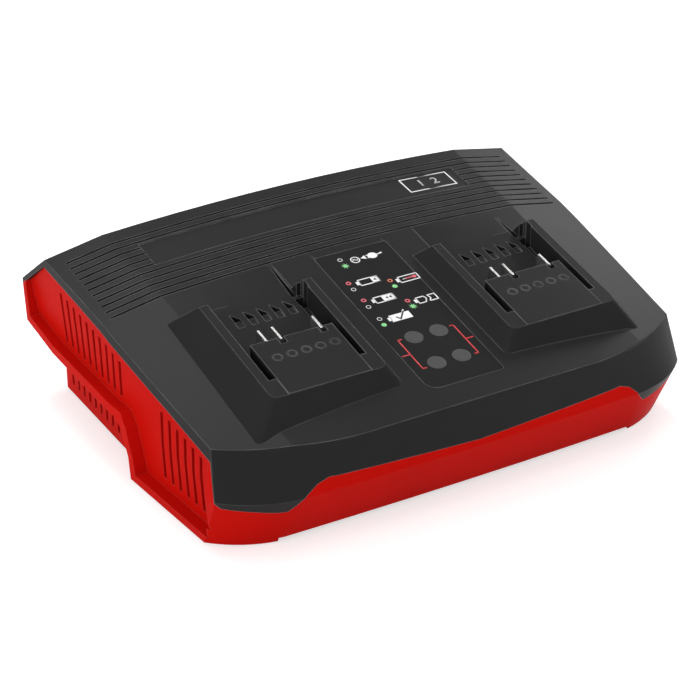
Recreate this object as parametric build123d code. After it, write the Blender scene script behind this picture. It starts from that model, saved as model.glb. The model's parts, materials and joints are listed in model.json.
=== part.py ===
"""Two-bay charger for slide-on power tool battery packs, in millimetres, +Z up.

The origin is at the middle of the footprint, on the surface that the charger stands on.
The front, where the packs slide on, faces -Y.
"""

import math
import os

from build123d import *

os.makedirs("parts", exist_ok=True)

# ---------------------------------------------------------------- driving dimensions
# Outer shell: half widths and depths of the outline at four heights
SIDE_HALF_WIDTH = 127.0        # widest point, at the rim above the lower side wall
SIDE_LEAN = 0.112              # the sides lean in, per mm of height above the rim
FRONT_EDGE_Y = -101.8          # front top edge at the middle
REAR_EDGE_Y = 101.5            # rear wall at the seam
FRONT_SEAM_Y = -100.3          # front face at the seam
FRONT_FOOT_Y = -86.5           # front face at the bottom
REAR_RIM_Y = 99.0              # rear face at the rim
REAR_FLARE = 2.34              # the sides spread by this much towards the rear, at the shoulder
REAR_FLARE_TOP = 6.6           # and at the top
REAR_CUT = 1.8                 # size of the cut rear corners
TAPER_Y = 8.5                  # the sides run on straight behind this and taper in front of it
FOOT_REAR = 95.0               # rear face at the bottom
RIM_Z = 28.0                   # underside of the side rim
RIM_BAND = 4.0                 # height of the rim band
RIM_RISE_Y = 68.0              # the rim rises behind this
RIM_RISE = 0.135               # per mm
SHOULDER_Z = 50.0              # height at which the rear wall starts to lean
SHELL_WALL = 2.5
SIDE_RECESS = 6.0              # depth of the vent panels at the rim
SIDE_RECESS_TOP = -1.3         # and far above, so that they come near the cover's edge
ROOF_MARGIN = 17.9             # the straight walls are drawn this far past the roof's fold
FLOOR_LIFT = 0.8               # the plastic floor stands this far above the surface
FLOOR_WALL = 2.4
NOSE_LIFT = 3.0                # lower edge of the front panel, above the surface

# Roof
CREASE_Y = 18.0                # the roof folds here, at the last groove
CREASE_Z = 72.1
FRONT_SLOPE = 0.184
REAR_SLOPE = 0.125
ROOF_REAR_Y = 74.0
BACK_SLOPE = 0.78
CROWN = 3.3                    # arch of the roof between the two side creases
CREASE_X = 93.6
CREASE_SPREAD = 0.045          # the side creases move out by this much per mm towards the rear
FACET_FALL = 0.19              # fall of the facets outside the creases, per mm
BACK_RECESS_HALF = 79.0        # half width of the recess in the back of the cover
BACK_RECESS_LEAN = 0.42
BACK_ZONE_MARGIN = 29.0        # the seam stays low this far beside the recess

# Seam between the cover and the base
SEAM_BAND = 4.5                # height of the cover's edge on the sides
CORNER_SEAM_Y = -76.5          # the seam turns down here, at the front corners
CORNER_SEAM_FOOT_Y = -84.0
CORNER_SEAM_Z = 24.0
FRONT_SEAM_Z = 31.5
ARCH_X = 74.5
ARCH_Z = 35.4
TOOTH_X = 92.0
TOOTH_Z = 21.0

# Grooves and name plate
GROOVE_COUNT = 11
GROOVE_PITCH = 4.73
GROOVE_WIDTH = 1.3
GROOVE_DEPTH = 1.2
GROOVE_HALF_LENGTH = 118.5
OPEN_GROOVES = 5               # the front grooves open into the case for air
OPEN_SPANS = ((4.0, 39.3), (46.8, 79.0))
PLATE_HALF_LENGTH = 85.0
PLATE_FRONT_Y = 40.6
PLATE_REAR_Y = 58.7
PLATE_DEPTH = 0.7

# Battery bays
BAY_PITCH = 120.0
BAY_TOP_HALF = 28.0            # half width of the block at its top
BAY_LEFT_LEAN = 1.05           # how far each flank runs out, per mm of height
BAY_RIGHT_LEAN = 0.7
BAY_FRONT_LEAN = 0.86
BAY_REAR_LEAN = 0.8
BAY_FRONT_Y = -75.5
BAY_REAR_Y = -8.5
BAY_RISE = 9.83                # height of the block's top above the side creases
BAY_CORNER_RADIUS = 5.0
PIT_HALF = 23.7                # half width between the pack guides
PIT_FRONT_Y = -41.0
PIT_DEPTH = 10.1               # depth of the pit's floor at PIT_FRONT_Y, below the block's top
PIT_SLOPE = 0.225
CHUTE_LEFT = PIT_HALF             # the smooth face from the last groove to the pit
CHUTE_RIGHT = 21.3
CHUTE_FRONT_Y = -7.0
CREASE_WIDTH = 2.4             # dark crease along the right of that face, where it ends
CREASE_DEPTH = 3.0
CREASE_START = 0.5             # width and depth of the crease at the last groove
TUB_WALL = 4.5                 # thickness of the pit's floor at its front
TUB_REAR_WALL = 6.5            # and at its rear
TUB_REAR_Y = 14.0              # the thick floor runs out into the roof here
PAD_HALF = 20.2                # half width of the raised pad between the guide slots
PAD_RISE = 0.35
GUIDE_SLOT_FRONT_Y = -64.4
GUIDE_SLOT_DEPTH = 9.0
NOTCH_COUNT = 5
NOTCH_PITCH = 6.6
NOTCH_WIDTH = 3.3
NOTCH_LENGTH = 9.4
NOTCH_POINT = 4.2              # length of the deep, pointed end
NOTCH_POINT_DEPTH = 3.6
NOTCH_REAR_DEPTH = 1.1         # the rest is shallow, and runs out to the front
NOTCH_FRONT_DEPTH = 0.2
NOTCH_SHIFT = 2.0              # the row of notches lies this far right of the bay's middle
POCKET_WIDTH = 3.2             # pocket in the pad in front of the right blades
POCKET_LENGTH = 4.6
POCKET_DEPTH = 5.0
POCKET_SHIFT = 0.7
PIN_HOLE_PLACE = (7.5, -30.5)
PIN_HOLE_RADIUS = 0.9
STAMP_COUNT = 5
STAMP_PITCH = 7.0
STAMP_RADIUS = 2.3
STAMP_Y = -52.6
LATCH_HOLE = 4.6
BLADE_CHAMFER = 0.8

# Contact blades and their holders
BLADE_PLACES = (-11.6, -4.8, 15.2)
BLADE_THICKNESS = 1.0
BLADE_LENGTH = 9.6
BLADE_REAR_Y = -31.4
BLADE_TOP_BELOW = 0.6          # blade tops lie this far under the block's top plane
BLADE_FIT = 0.08
SEAT_DROP = 5.5                # the contact holders' flat seat lies this far under the pit's floor
HOLDER_HEIGHT = 10.0
HOLDER_LENGTH = 18.0
HOLDER_HALF_WIDTH = 21.0
HOLDER_SCREW_GRIP = 4.0        # length of the holder screws in the cover
BLADE_FOOT_DEPTH = 8.0

# Label, windows and display
LABEL_HALF = 19.0
LABEL_REAR_Y = 11.9
LABEL_FRONT_Y = -89.1
LABEL_DEPTH = 0.6
LABEL_THICKNESS = 0.5
LABEL_CORNER_RADIUS = 1.5
LABEL_FRONT_RADIUS = 6.0       # front left corner
WINDOW_X = 6.4
WINDOW_PLACES_Y = (-55.2, -74.1)
WINDOW_RADIUS = 4.2
WINDOW_FIT = 0.1
PIPE_LENGTH = 8.0
DISPLAY_BOARD = (34.0, 46.0, 1.6)
DISPLAY_DEPTH = 10.1           # the display board's top lies this far under the label plane
DISPLAY_POST_RADIUS = 2.6
LABEL_EDGE_GAP = 0.15
RIBBON_Y = -50.0
RIBBON_THICKNESS = 0.8
RIBBON_HALF = 7.0

# Main board and what stands on it
BOARD_Z = 14.0
BOARD_THICKNESS = 1.6
BOARD_HALF_X = 92.0
BOARD_FRONT_Y = -66.0
BOARD_REAR_Y = 4.0
BOARD_SCREW_INSET = 5.0
SMALL_SCREW_RADIUS = 1.25
SMALL_BOSS_RADIUS = 3.5
LEAD_RADIUS = 1.1
CORE_Y = -18.0
CORE_WIDTH = 36.0
CORE_DEPTH = 14.0
CORE_HEIGHT = 30.0
CORE_LEG = 12.0
CORE_WINDOW_HEIGHT = 18.0
WINDING_GAP = 0.2
WINDING_BUILD = 5.4
BULK_RADIUS = 9.0
BULK_HEIGHT = 26.0
BULK_PLACES = ((-58.0, -12.0), (-38.0, -12.0))
OUTPUT_RADIUS = 5.0
OUTPUT_HEIGHT = 20.0
OUTPUT_PLACES = ((30.0, -10.0), (42.0, -10.0), (54.0, -10.0), (66.0, -10.0))
SINK_NEAR_X = 34.0
SINK_LENGTH = 44.0
SINK_Y = -56.0
SINK_PLATE = 3.0
SINK_HEIGHT = 24.0
SINK_FINS = 8
SINK_FIN_LENGTH = 8.0
CHOKE_PLACE = (-80.0, -14.0)
CHOKE_RADIUS = 7.5
FUSE_PLACE = (-80.0, -27.0)
RECTIFIER_INWARD = 34.0        # the rectifier stands this far inward of the left bay's middle
RECTIFIER_Y = -36.0
TERMINAL_PLACE = (80.0, -18.0)

# Cooling fan, lying flat over the floor grille
FAN_SIZE = 60.0
FAN_HEIGHT = 15.0
GRILLE_PITCH = 5.6
FAN_X = 0.0
FAN_Y = 44.0
FAN_STAND = 4.0
FAN_BORE = 28.4
ROTOR_RADIUS = 27.4
ROTOR_HUB = 13.0
ROTOR_BLADES = 7
FAN_SHAFT_RADIUS = 1.5
FAN_SHAFT_FIT = 0.06
FAN_SPIDER = 3.0
FAN_TUBE_HEIGHT = 10.5
FAN_TUBE_RADIUS = 3.2
FAN_GAP = 0.6
ROTOR_CAP = 2.0
STATOR_RADIUS = 10.2

# Vents
VENT_WIDTH = 2.4
UPPER_VENT_DROP = 7.0          # tops of the slots under the seam
FRONT_VENT_DROP = 9.0
FRONT_VENT_FOOT_Z = 10.0
LOWER_VENT_FOOT_Z = 6.0
UPPER_VENTS = 10
UPPER_VENT_REAR_Y = 62.5
UPPER_VENT_PITCH = 6.35
FRONT_VENTS = 8
FRONT_VENT_REAR_Y = -29.8
FRONT_VENT_PITCH = 6.4
LOWER_VENTS = 10
LOWER_VENT_REAR_Y = 72.0
LOWER_VENT_PITCH = 6.3

# Lower side walls and front feet
NOSE_REAR_Y = -50.0
PANEL_MARGIN = 5.0             # the side panels end this far in front of the rear face
LOWER_HALF_WIDTH = 116.0
LOWER_REAR_Y = 80.0
FOOT_REAR_Y = -9.5
FOOT_STEP_Y = 1.0

# Fasteners and feet
COVER_SCREW_PLACES = ((98.0, 62.0), (98.0, -58.0))
SCREW_RADIUS = 2.0
SCREW_HEAD_RADIUS = 3.9
SCREW_FIT = 0.05
BOSS_RADIUS = 5.5
BOSS_JOIN_Z = 26.0
BOSS_HEAD_Z = 12.0
PAD_PLACES = ((102.0, 68.0), (106.0, -50.0))
RUBBER_RADIUS = 7.0
RUBBER_HEIGHT = 2.2
KEYHOLE_SPACING = 150.0
KEYHOLE_Y = 20.0
KEYHOLE_HEAD = 4.5
KEYHOLE_NECK = 2.3
KEYHOLE_TRAVEL = 8.0

# Cable inlet, in the back wall
INLET_X = 62.0
INLET_Z = 15.0
INLET_BORE = 3.9
GLAND_RADIUS = 7.0
GLAND_FLANGE = 9.5
GLAND_FLANGE_THICKNESS = 2.5
GLAND_NUT_LENGTH = 4.0
GLAND_FIT = 0.05

FAR = 160.0                    # past the outside of everything


# ---------------------------------------------------------------- outline of the shell
def crease_height(y):
    """Height of the side creases at y."""
    if y > ROOF_REAR_Y:
        return crease_height(ROOF_REAR_Y) - BACK_SLOPE * (y - ROOF_REAR_Y)
    if y > CREASE_Y:
        return CREASE_Z + REAR_SLOPE * (y - CREASE_Y)
    return CREASE_Z - FRONT_SLOPE * (CREASE_Y - y)


def crease_place(y):
    """Distance of the side creases from the middle at y."""
    return CREASE_X + CREASE_SPREAD * (y - CREASE_Y)


def roof_height(x, y):
    """Height of the roof at a point."""
    edge = crease_place(y)
    if abs(x) > edge:
        return crease_height(y) - FACET_FALL * (abs(x) - edge)
    return crease_height(y) + CROWN * (1 - (x / edge) ** 2)


def roof_section(y, drop):
    """Face under the roof line at y."""
    z = crease_height(y) - drop
    edge = crease_place(y)
    side = z - FACET_FALL * (FAR - edge)
    line = Polyline((edge, y, z), (FAR, y, side), (FAR, y, -FAR),
                    (-FAR, y, -FAR), (-FAR, y, side), (-edge, y, z))
    arch = ThreePointArc((-edge, y, z), (0, y, z + CROWN), (edge, y, z))
    return make_face([*line.edges(), arch.edge()])


def under_roof(drop):
    """Everything below the roof, or below a surface that lies drop under it."""
    stations = (-FAR, CREASE_Y, ROOF_REAR_Y, FAR)
    return loft([roof_section(y, drop) for y in stations], ruled=True)


def outline(z, front, corner, side, rear, flare, side_in, front_in, rear_in):
    """Closed outline of the shell at height z, drawn in by the last three sizes.

    corner holds the start, middle and end of the right front corner's arc.
    """
    (ax, ay), (bx, by), (cx, cy) = corner
    ax, ay = ax - side_in / 4, ay + front_in
    bx, by = bx - side_in / 2, by + front_in
    cx, cy = cx - side_in, cy + (front_in + side_in) / 2
    sx = side - side_in
    rx = sx + flare
    ry = rear - rear_in
    bow = ThreePointArc((-ax, ay, z), (0, front + front_in, z), (ax, ay, z))
    right = ThreePointArc((ax, ay, z), (bx, by, z), (cx, cy, z))
    back = Polyline((cx, cy, z), (sx, TAPER_Y, z), (rx, ry - REAR_CUT, z), (rx - REAR_CUT, ry, z),
                    (REAR_CUT - rx, ry, z), (-rx, ry - REAR_CUT, z), (-sx, TAPER_Y, z), (-cx, cy, z))
    left = ThreePointArc((-cx, cy, z), (-bx, by, z), (-ax, ay, z))
    return make_face([bow.edge(), right.edge(), *back.edges(), left.edge()])


# Right front corner at the bottom, the rim, the shoulder and the top: start, middle and end of its arc
FOOT_CORNER = ((90, FRONT_FOOT_Y + 1.2), (107, -79.5), (119.5, -70))
RIM_CORNER = ((86, FRONT_SEAM_Y + 1.5), (106, -93.4), (120.2, -83))
SHOULDER_CORNER = ((60, FRONT_EDGE_Y + 1.5), (92, -91.8), (117.5, -75.5))
TOP_CORNER = ((60, FRONT_EDGE_Y + 1.5), (91, -91.5), (114.5, -75.5))


def shell(side_in=0.0, top_in=0.0, front_in=0.0, rear_in=0.0, drop=0.0):
    """The whole outside form below the roof, or the same form drawn in.

    side_in holds up to the rim, and changes evenly from there to top_in at the top.
    """
    half = SIDE_HALF_WIDTH
    top_z = CREASE_Z + ROOF_MARGIN
    shoulder_in = side_in + (top_in - side_in) * (SHOULDER_Z - RIM_Z) / (top_z - RIM_Z)
    low = (side_in, front_in, rear_in)
    middle = (shoulder_in, front_in, rear_in)
    high = (top_in, front_in, rear_in)
    foot = outline(0, FRONT_FOOT_Y, FOOT_CORNER, half - 0.5, FOOT_REAR, 0, *low)
    rim = outline(RIM_Z, FRONT_SEAM_Y, RIM_CORNER, half, REAR_RIM_Y, 0, *low)
    shoulder = outline(SHOULDER_Z, FRONT_EDGE_Y, SHOULDER_CORNER, half - SIDE_LEAN * (SHOULDER_Z - RIM_Z),
                       REAR_EDGE_Y, REAR_FLARE, *middle)
    top = outline(top_z, FRONT_EDGE_Y, TOP_CORNER, half - SIDE_LEAN * (top_z - RIM_Z),
                  REAR_EDGE_Y, REAR_FLARE_TOP, *high)
    form = loft([foot, rim, shoulder, top], ruled=True)
    return form & under_roof(drop)


def back_recess(grow):
    """The hollow in the middle of the back, behind the roof."""
    half = BACK_RECESS_HALF + grow
    edge_z = crease_height(ROOF_REAR_Y) + CROWN
    top_y = ROOF_REAR_Y - grow + 1
    low_y = top_y + BACK_RECESS_LEAN * (edge_z - SHOULDER_Z)
    floor_z = SHOULDER_Z + 2.5 - grow
    side = Polyline((0, top_y - 4, edge_z + 8), (0, top_y, edge_z), (0, low_y, floor_z), (0, FAR, floor_z),
                    (0, FAR, edge_z + 8), close=True)
    return Pos(-half, 0, 0) * extrude(make_face(side.edges()), 2 * half, dir=(1, 0, 0))


def prism_x(points, half=FAR):
    """Solid with a side view given by (y, z) points, from -half to half in X."""
    outline_wire = Polyline(*[(0, y, z) for y, z in points], close=True)
    return Pos(-half, 0, 0) * extrude(make_face(outline_wire.edges()), 2 * half, dir=(1, 0, 0))


def prism_y(points, front, rear):
    """Solid with a front view given by (x, z) points, from front to rear in Y."""
    outline_wire = Polyline(*[(x, 0, z) for x, z in points], close=True)
    return Pos(0, front, 0) * extrude(make_face(outline_wire.edges()), rear - front, dir=(0, 1, 0))


def block(x0, x1, y0, y1, z0, z1):
    """Box between two corners."""
    size = (x1 - x0, y1 - y0, z1 - z0)
    return Pos((x0 + x1) / 2, (y0 + y1) / 2, (z0 + z1) / 2) * Box(*size)


def rod(x, y, z0, z1, radius):
    """Upright cylinder."""
    return Pos(x, y, (z0 + z1) / 2) * Cylinder(radius, z1 - z0)


def side_edge_height(y):
    """Height of the cover's side edge at y."""
    return roof_height(SIDE_HALF_WIDTH - 4, y)


def cover_zone():
    """The space above the seam."""
    sides = prism_x([
        (FAR, SHOULDER_Z - 0.5),
        (REAR_EDGE_Y, SHOULDER_Z - 0.5),
        (ROOF_REAR_Y + 1.5, side_edge_height(ROOF_REAR_Y) - SEAM_BAND),
        (CREASE_Y, side_edge_height(CREASE_Y) - SEAM_BAND),
        (CORNER_SEAM_Y, side_edge_height(CORNER_SEAM_Y) - SEAM_BAND),
        (CORNER_SEAM_Y, FAR),
        (FAR, FAR),
    ])
    nose = prism_x([
        (CORNER_SEAM_Y, FAR),
        (CORNER_SEAM_Y, side_edge_height(CORNER_SEAM_Y) - SEAM_BAND),
        (CORNER_SEAM_FOOT_Y, CORNER_SEAM_Z),
        (CORNER_SEAM_FOOT_Y, 0),
        (-FAR, 0),
        (-FAR, FAR),
    ])
    half = [(0, FRONT_SEAM_Z), (ARCH_X - 4, ARCH_Z - 0.5), (ARCH_X, ARCH_Z), (80, 33.4), (85, 29), (89, 24),
            (TOOTH_X, TOOTH_Z), (96, TOOTH_Z + 0.4), (106, 23.4), (FAR, 30)]
    left = [(-x, z) for x, z in reversed(half[1:])]
    face_line = left + half + [(FAR, FAR), (-FAR, FAR)]
    back_half = BACK_RECESS_HALF + BACK_ZONE_MARGIN
    back = block(-back_half, back_half, ROOF_REAR_Y - 14, FAR, SHOULDER_Z - 0.5, FAR)
    return sides + (nose & prism_y(face_line, -FAR, 0)) + back


# ---------------------------------------------------------------- battery bays
def bay_middle(side):
    """X of a bay's middle: side is -1 for the left bay and 1 for the right one."""
    return side * BAY_PITCH / 2


def bay_top(y):
    """Height of the bay block's top plane at y."""
    return crease_height(y) + BAY_RISE


def pit_floor(y):
    """Height of the floor between the guides at y."""
    return bay_top(PIT_FRONT_Y) - PIT_DEPTH + PIT_SLOPE * (y - PIT_FRONT_Y)


SEAT_Z = pit_floor(PIT_FRONT_Y) - SEAT_DROP


def bay_block(side, depth=16.0):
    """Raised block of one bay."""
    middle = bay_middle(side)

    def ring(down):
        left = middle - BAY_TOP_HALF - BAY_LEFT_LEAN * down
        right = middle + BAY_TOP_HALF + BAY_RIGHT_LEAN * down
        front = BAY_FRONT_Y - BAY_FRONT_LEAN * down
        rear = BAY_REAR_Y + BAY_REAR_LEAN * down
        corners = [(left, front), (right, front), (right, rear), (left, rear)]
        return make_face(Polyline(*[(x, y, bay_top(y) - down) for x, y in corners], close=True).edges())

    form = loft([ring(depth), ring(0)], ruled=True)
    uprights = form.edges().filter_by(lambda e: abs(e.center().Z - bay_top(e.center().Y) + depth / 2) < 1.5)
    fronts = uprights.sort_by(Axis.Y)[:2]
    return fillet(fronts, BAY_CORNER_RADIUS)


def bay_chute(side):
    """What is cut for the smooth face from the last groove to the pit, and the crease at its right."""
    middle = bay_middle(side)
    rear_y = CREASE_Y - 0.5
    rear_z = roof_height(bay_middle(1) - CHUTE_RIGHT, rear_y)
    front_y = CHUTE_FRONT_Y - 3
    face_line = [(front_y, pit_floor(front_y)), (CHUTE_FRONT_Y, pit_floor(CHUTE_FRONT_Y)), (rear_y, rear_z),
                 (rear_y, FAR), (front_y, FAR)]
    face = prism_x(face_line, (CHUTE_LEFT + CHUTE_RIGHT) / 2)
    deep = pit_floor(CHUTE_FRONT_Y) - CREASE_DEPTH
    shallow = rear_z - 2 * CREASE_START
    crease = prism_x([(CHUTE_FRONT_Y, deep), (rear_y, shallow), (rear_y, FAR), (CHUTE_FRONT_Y, FAR)])
    crease_x = CHUTE_RIGHT - CREASE_WIDTH / 2
    wedge = make_face(Polyline((CHUTE_RIGHT - CREASE_WIDTH, CHUTE_FRONT_Y), (CHUTE_RIGHT, CHUTE_FRONT_Y),
                               (crease_x + CREASE_START / 2, rear_y), (crease_x - CREASE_START / 2, rear_y),
                               close=True).edges())
    crease = crease & extrude(wedge, FAR)
    return Pos(middle, 0, 0) * (Pos((CHUTE_RIGHT - CHUTE_LEFT) / 2, 0, 0) * face + crease)


def bay_pit(side):
    """What is cut from a bay block between the pack guides."""
    pit = prism_x([(PIT_FRONT_Y, pit_floor(PIT_FRONT_Y)), (CHUTE_FRONT_Y, pit_floor(CHUTE_FRONT_Y)),
                   (CHUTE_FRONT_Y, FAR), (PIT_FRONT_Y, FAR)], PIT_HALF)
    slots = prism_x([
        (GUIDE_SLOT_FRONT_Y, bay_top(GUIDE_SLOT_FRONT_Y) - GUIDE_SLOT_DEPTH),
        (PIT_FRONT_Y + 1, bay_top(PIT_FRONT_Y) - GUIDE_SLOT_DEPTH),
        (PIT_FRONT_Y + 1, FAR),
        (GUIDE_SLOT_FRONT_Y, FAR),
    ], PIT_HALF) - prism_x([(-FAR, -FAR), (FAR, -FAR), (FAR, FAR), (-FAR, FAR)], PAD_HALF)
    hole_y = BAY_REAR_Y - LATCH_HOLE
    side_slot = prism_x([
        (PIT_FRONT_Y, pit_floor(PIT_FRONT_Y) - 2),
        (hole_y, pit_floor(hole_y) - 2),
        (hole_y, FAR),
        (PIT_FRONT_Y, FAR),
    ], (PIT_HALF - PAD_HALF) / 2)
    cut = pit + slots + Pos((PIT_HALF + PAD_HALF) / 2, 0, 0) * side_slot
    return Pos(bay_middle(side), 0, 0) * cut


def bay_pad(side):
    """Raised pad that the pack slides over, between the guide slots."""
    points = [(y, bay_top(y) + lift) for y, lift in (
        (BAY_FRONT_Y, -4), (BAY_FRONT_Y, PAD_RISE), (PIT_FRONT_Y, PAD_RISE), (PIT_FRONT_Y, -4))]
    return Pos(bay_middle(side), 0, 0) * prism_x(points, PAD_HALF)


def notch_cut():
    """One notch about x = 0: a deep pointed end at the rear and a shallow face in front of it."""
    half = NOTCH_WIDTH / 2
    rear = CHUTE_FRONT_Y - 0.6
    step = rear - NOTCH_POINT
    front = rear - NOTCH_LENGTH
    deep = pit_floor(step) - NOTCH_POINT_DEPTH
    point = make_face(Polyline((-half, step), (half, step), (-half, rear), close=True).edges())
    point = Pos(0, 0, deep) * extrude(point, FAR)
    shallow = prism_x([(front, pit_floor(front) - NOTCH_FRONT_DEPTH),
                       (step, pit_floor(step) - NOTCH_REAR_DEPTH), (step, FAR), (front, FAR)], half)
    return point + shallow


def bay_marks(side):
    """Notches, stamp rings, latch hole and blade slits of one bay, to be cut."""
    middle = bay_middle(side)
    notch = notch_cut()
    cuts = []
    for i in range(NOTCH_COUNT):
        cuts.append(Pos(middle + NOTCH_SHIFT + (i - (NOTCH_COUNT - 1) / 2) * NOTCH_PITCH, 0, 0) * notch)
    ring = Cylinder(STAMP_RADIUS, 0.8) - Cylinder(STAMP_RADIUS - 0.5, 0.8)
    ring = Rot(math.degrees(math.atan(FRONT_SLOPE)), 0, 0) * ring
    for i in range(STAMP_COUNT):
        x = middle + 1 + (i - (STAMP_COUNT - 1) / 2) * STAMP_PITCH
        cuts.append(Pos(x, STAMP_Y, bay_top(STAMP_Y) + PAD_RISE) * ring)
    pocket_front = PIT_FRONT_Y - POCKET_LENGTH
    pocket = prism_x([(PIT_FRONT_Y + 1, bay_top(PIT_FRONT_Y) - POCKET_DEPTH),
                      (pocket_front, bay_top(pocket_front) + 1),
                      (PIT_FRONT_Y + 1, bay_top(PIT_FRONT_Y) + 3)], POCKET_WIDTH / 2)
    for place in BLADE_PLACES[1:]:
        cuts.append(Pos(middle + place - POCKET_SHIFT, 0, 0) * pocket)
    hole_y = BAY_REAR_Y - LATCH_HOLE / 2
    hole_x = middle + (PIT_HALF + PAD_HALF) / 2
    cuts.append(block(hole_x - LATCH_HOLE / 2, hole_x + LATCH_HOLE / 2, hole_y - LATCH_HOLE / 2,
                      hole_y + LATCH_HOLE / 2, 40, FAR))
    cuts.append(rod(middle + PIN_HOLE_PLACE[0], PIN_HOLE_PLACE[1], SEAT_Z - 5, FAR, PIN_HOLE_RADIUS))
    for place in BLADE_PLACES:
        x = middle + place
        half = BLADE_THICKNESS / 2 + BLADE_FIT
        cuts.append(block(x - half, x + half,
                          BLADE_REAR_Y - BLADE_LENGTH - BLADE_FIT, BLADE_REAR_Y + BLADE_FIT,
                          SEAT_Z - 5, bay_top(PIT_FRONT_Y) + 2))
    return cuts


def holder_span():
    """Front and rear of the contact holders."""
    middle = BLADE_REAR_Y - BLADE_LENGTH / 2
    return middle - HOLDER_LENGTH / 2, middle + HOLDER_LENGTH / 2


# ---------------------------------------------------------------- label plane
LABEL_TILT = math.degrees(math.atan(FRONT_SLOPE))


def label_height(y):
    """Height of the cover along its middle, in front of the last groove."""
    return crease_height(y) + CROWN


def on_label(x, y, depth):
    """Place on the label plane, depth below its surface."""
    tilt = math.atan(FRONT_SLOPE)
    place = Pos(x, y + depth * math.sin(tilt), label_height(y) - depth * math.cos(tilt))
    return place * Rot(LABEL_TILT, 0, 0)


def label_face(shrink):
    """Flat outline of the label about its own middle, with its corners rounded."""
    half = LABEL_HALF - shrink
    long_half = (LABEL_REAR_Y - LABEL_FRONT_Y) / 2 / math.cos(math.radians(LABEL_TILT)) - shrink
    sheet = Rectangle(2 * half, 2 * long_half)
    front_left = sheet.vertices().sort_by(Axis.Y)[:2].sort_by(Axis.X)[0]
    others = [v for v in sheet.vertices() if v != front_left]
    sheet = fillet(others, LABEL_CORNER_RADIUS)
    front_left = sheet.vertices().sort_by(lambda v: v.X + v.Y)[0]
    return fillet(front_left, LABEL_FRONT_RADIUS)


LABEL_MIDDLE_Y = (LABEL_REAR_Y + LABEL_FRONT_Y) / 2


# ---------------------------------------------------------------- cover and base
def screw_places():
    """The four cover screws."""
    return [(s * x, y) for x, y in COVER_SCREW_PLACES for s in (-1, 1)]


def groove_cuts():
    """The grooves across the roof; the front ones open into the case."""
    cuts = []
    for k in range(GROOVE_COUNT):
        y = CREASE_Y + GROOVE_PITCH * k
        front, rear = y - GROOVE_WIDTH / 2, y + GROOVE_WIDTH / 2
        slit = block(-GROOVE_HALF_LENGTH, GROOVE_HALF_LENGTH, front, rear, 40, FAR)
        if PLATE_FRONT_Y < y < PLATE_REAR_Y:
            slit = slit - block(-PLATE_HALF_LENGTH, PLATE_HALF_LENGTH, front - 1, rear + 1, 0, FAR)
        cuts.append(slit - under_roof(GROOVE_DEPTH))
        if k < OPEN_GROOVES:
            for near, far in OPEN_SPANS:
                cuts += [block(near, far, front, rear, 40, FAR), block(-far, -near, front, rear, 40, FAR)]
    return cuts


def bay_seat(side):
    """Flat underside of a bay's floor, where its contact holder sits."""
    front, rear = holder_span()
    seat = prism_x([(front, SEAT_Z), (rear, SEAT_Z), (rear, pit_floor(rear) - 1),
                    (front, pit_floor(front) - 1)], HOLDER_HALF_WIDTH)
    return Pos(bay_middle(side), 0, 0) * seat


def bay_tub(side):
    """Thick floor and walls around the pit, up to the middle of the roof's wall."""
    front, rear = PIT_FRONT_Y - 2, CHUTE_FRONT_Y + 3
    end = roof_height(bay_middle(1), TUB_REAR_Y) - SHELL_WALL - 1
    form = prism_x([(front, pit_floor(front) - TUB_WALL), (rear, pit_floor(rear) - TUB_REAR_WALL),
                    (TUB_REAR_Y, end), (TUB_REAR_Y, FAR), (front, FAR)], PIT_HALF + SHELL_WALL)
    return Pos(bay_middle(side), 0, 0) * form & under_roof(SHELL_WALL / 2)


def pad_hollow(side):
    """Space under a bay's pad, in front of its contact holder, to be cut."""
    front = BAY_FRONT_Y + 4
    rear = holder_span()[0] - 3
    hollow = prism_x([(front, 20), (front, bay_top(front) - 3), (rear, bay_top(rear) - 3), (rear, 20)],
                     PAD_HALF - 3)
    return Pos(bay_middle(side), 0, 0) * hollow


def make_cover(outer, inner, zone):
    """Black top cover with both bays."""
    cover = (outer - inner) & zone
    under = under_roof(SHELL_WALL)
    for side in (-1, 1):
        cover = cover + (bay_block(side) - under) + bay_tub(side) + bay_seat(side)
        cover = cover - bay_pit(side) - bay_chute(side) + bay_pad(side)
        cover = cover - pad_hollow(side)
    for x, y in screw_places():
        boss = rod(x, y, BOSS_JOIN_Z, roof_height(x, y) - 1.2, BOSS_RADIUS)
        cover = cover + (boss & under_roof(SHELL_WALL / 2))
    recess = extrude(label_face(0), LABEL_DEPTH + 3)
    cover = cover - on_label(0, LABEL_MIDDLE_Y, LABEL_DEPTH) * recess
    cuts = [rod(x, y, BOSS_JOIN_Z - 1, BOSS_JOIN_Z + 14, SCREW_RADIUS + SCREW_FIT) for x, y in screw_places()]
    cuts += bay_marks(-1) + bay_marks(1) + groove_cuts()
    plate = block(-PLATE_HALF_LENGTH, PLATE_HALF_LENGTH, PLATE_FRONT_Y, PLATE_REAR_Y, 40, FAR)
    cuts.append(plate - under_roof(PLATE_DEPTH))
    cuts += [on_label(x, y, 0) * Cylinder(WINDOW_RADIUS + WINDOW_FIT, 12) for x, y in window_places()]
    post_length = DISPLAY_DEPTH - SHELL_WALL + 1
    post = Cylinder(DISPLAY_POST_RADIUS, post_length)
    posts = []
    for x, y in display_screw_places():
        posts.append(on_label(x, y, DISPLAY_DEPTH - post_length / 2) * post)
        cuts.append(on_label(x, y, DISPLAY_DEPTH - 3) * Cylinder(SMALL_SCREW_RADIUS + SCREW_FIT, 6))
    for x, y in holder_screw_places():
        cuts.append(rod(x, y, SEAT_Z - 1, SEAT_Z + HOLDER_SCREW_GRIP, SMALL_SCREW_RADIUS + SCREW_FIT))
    cover = cover + posts
    return cover - cuts


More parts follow.
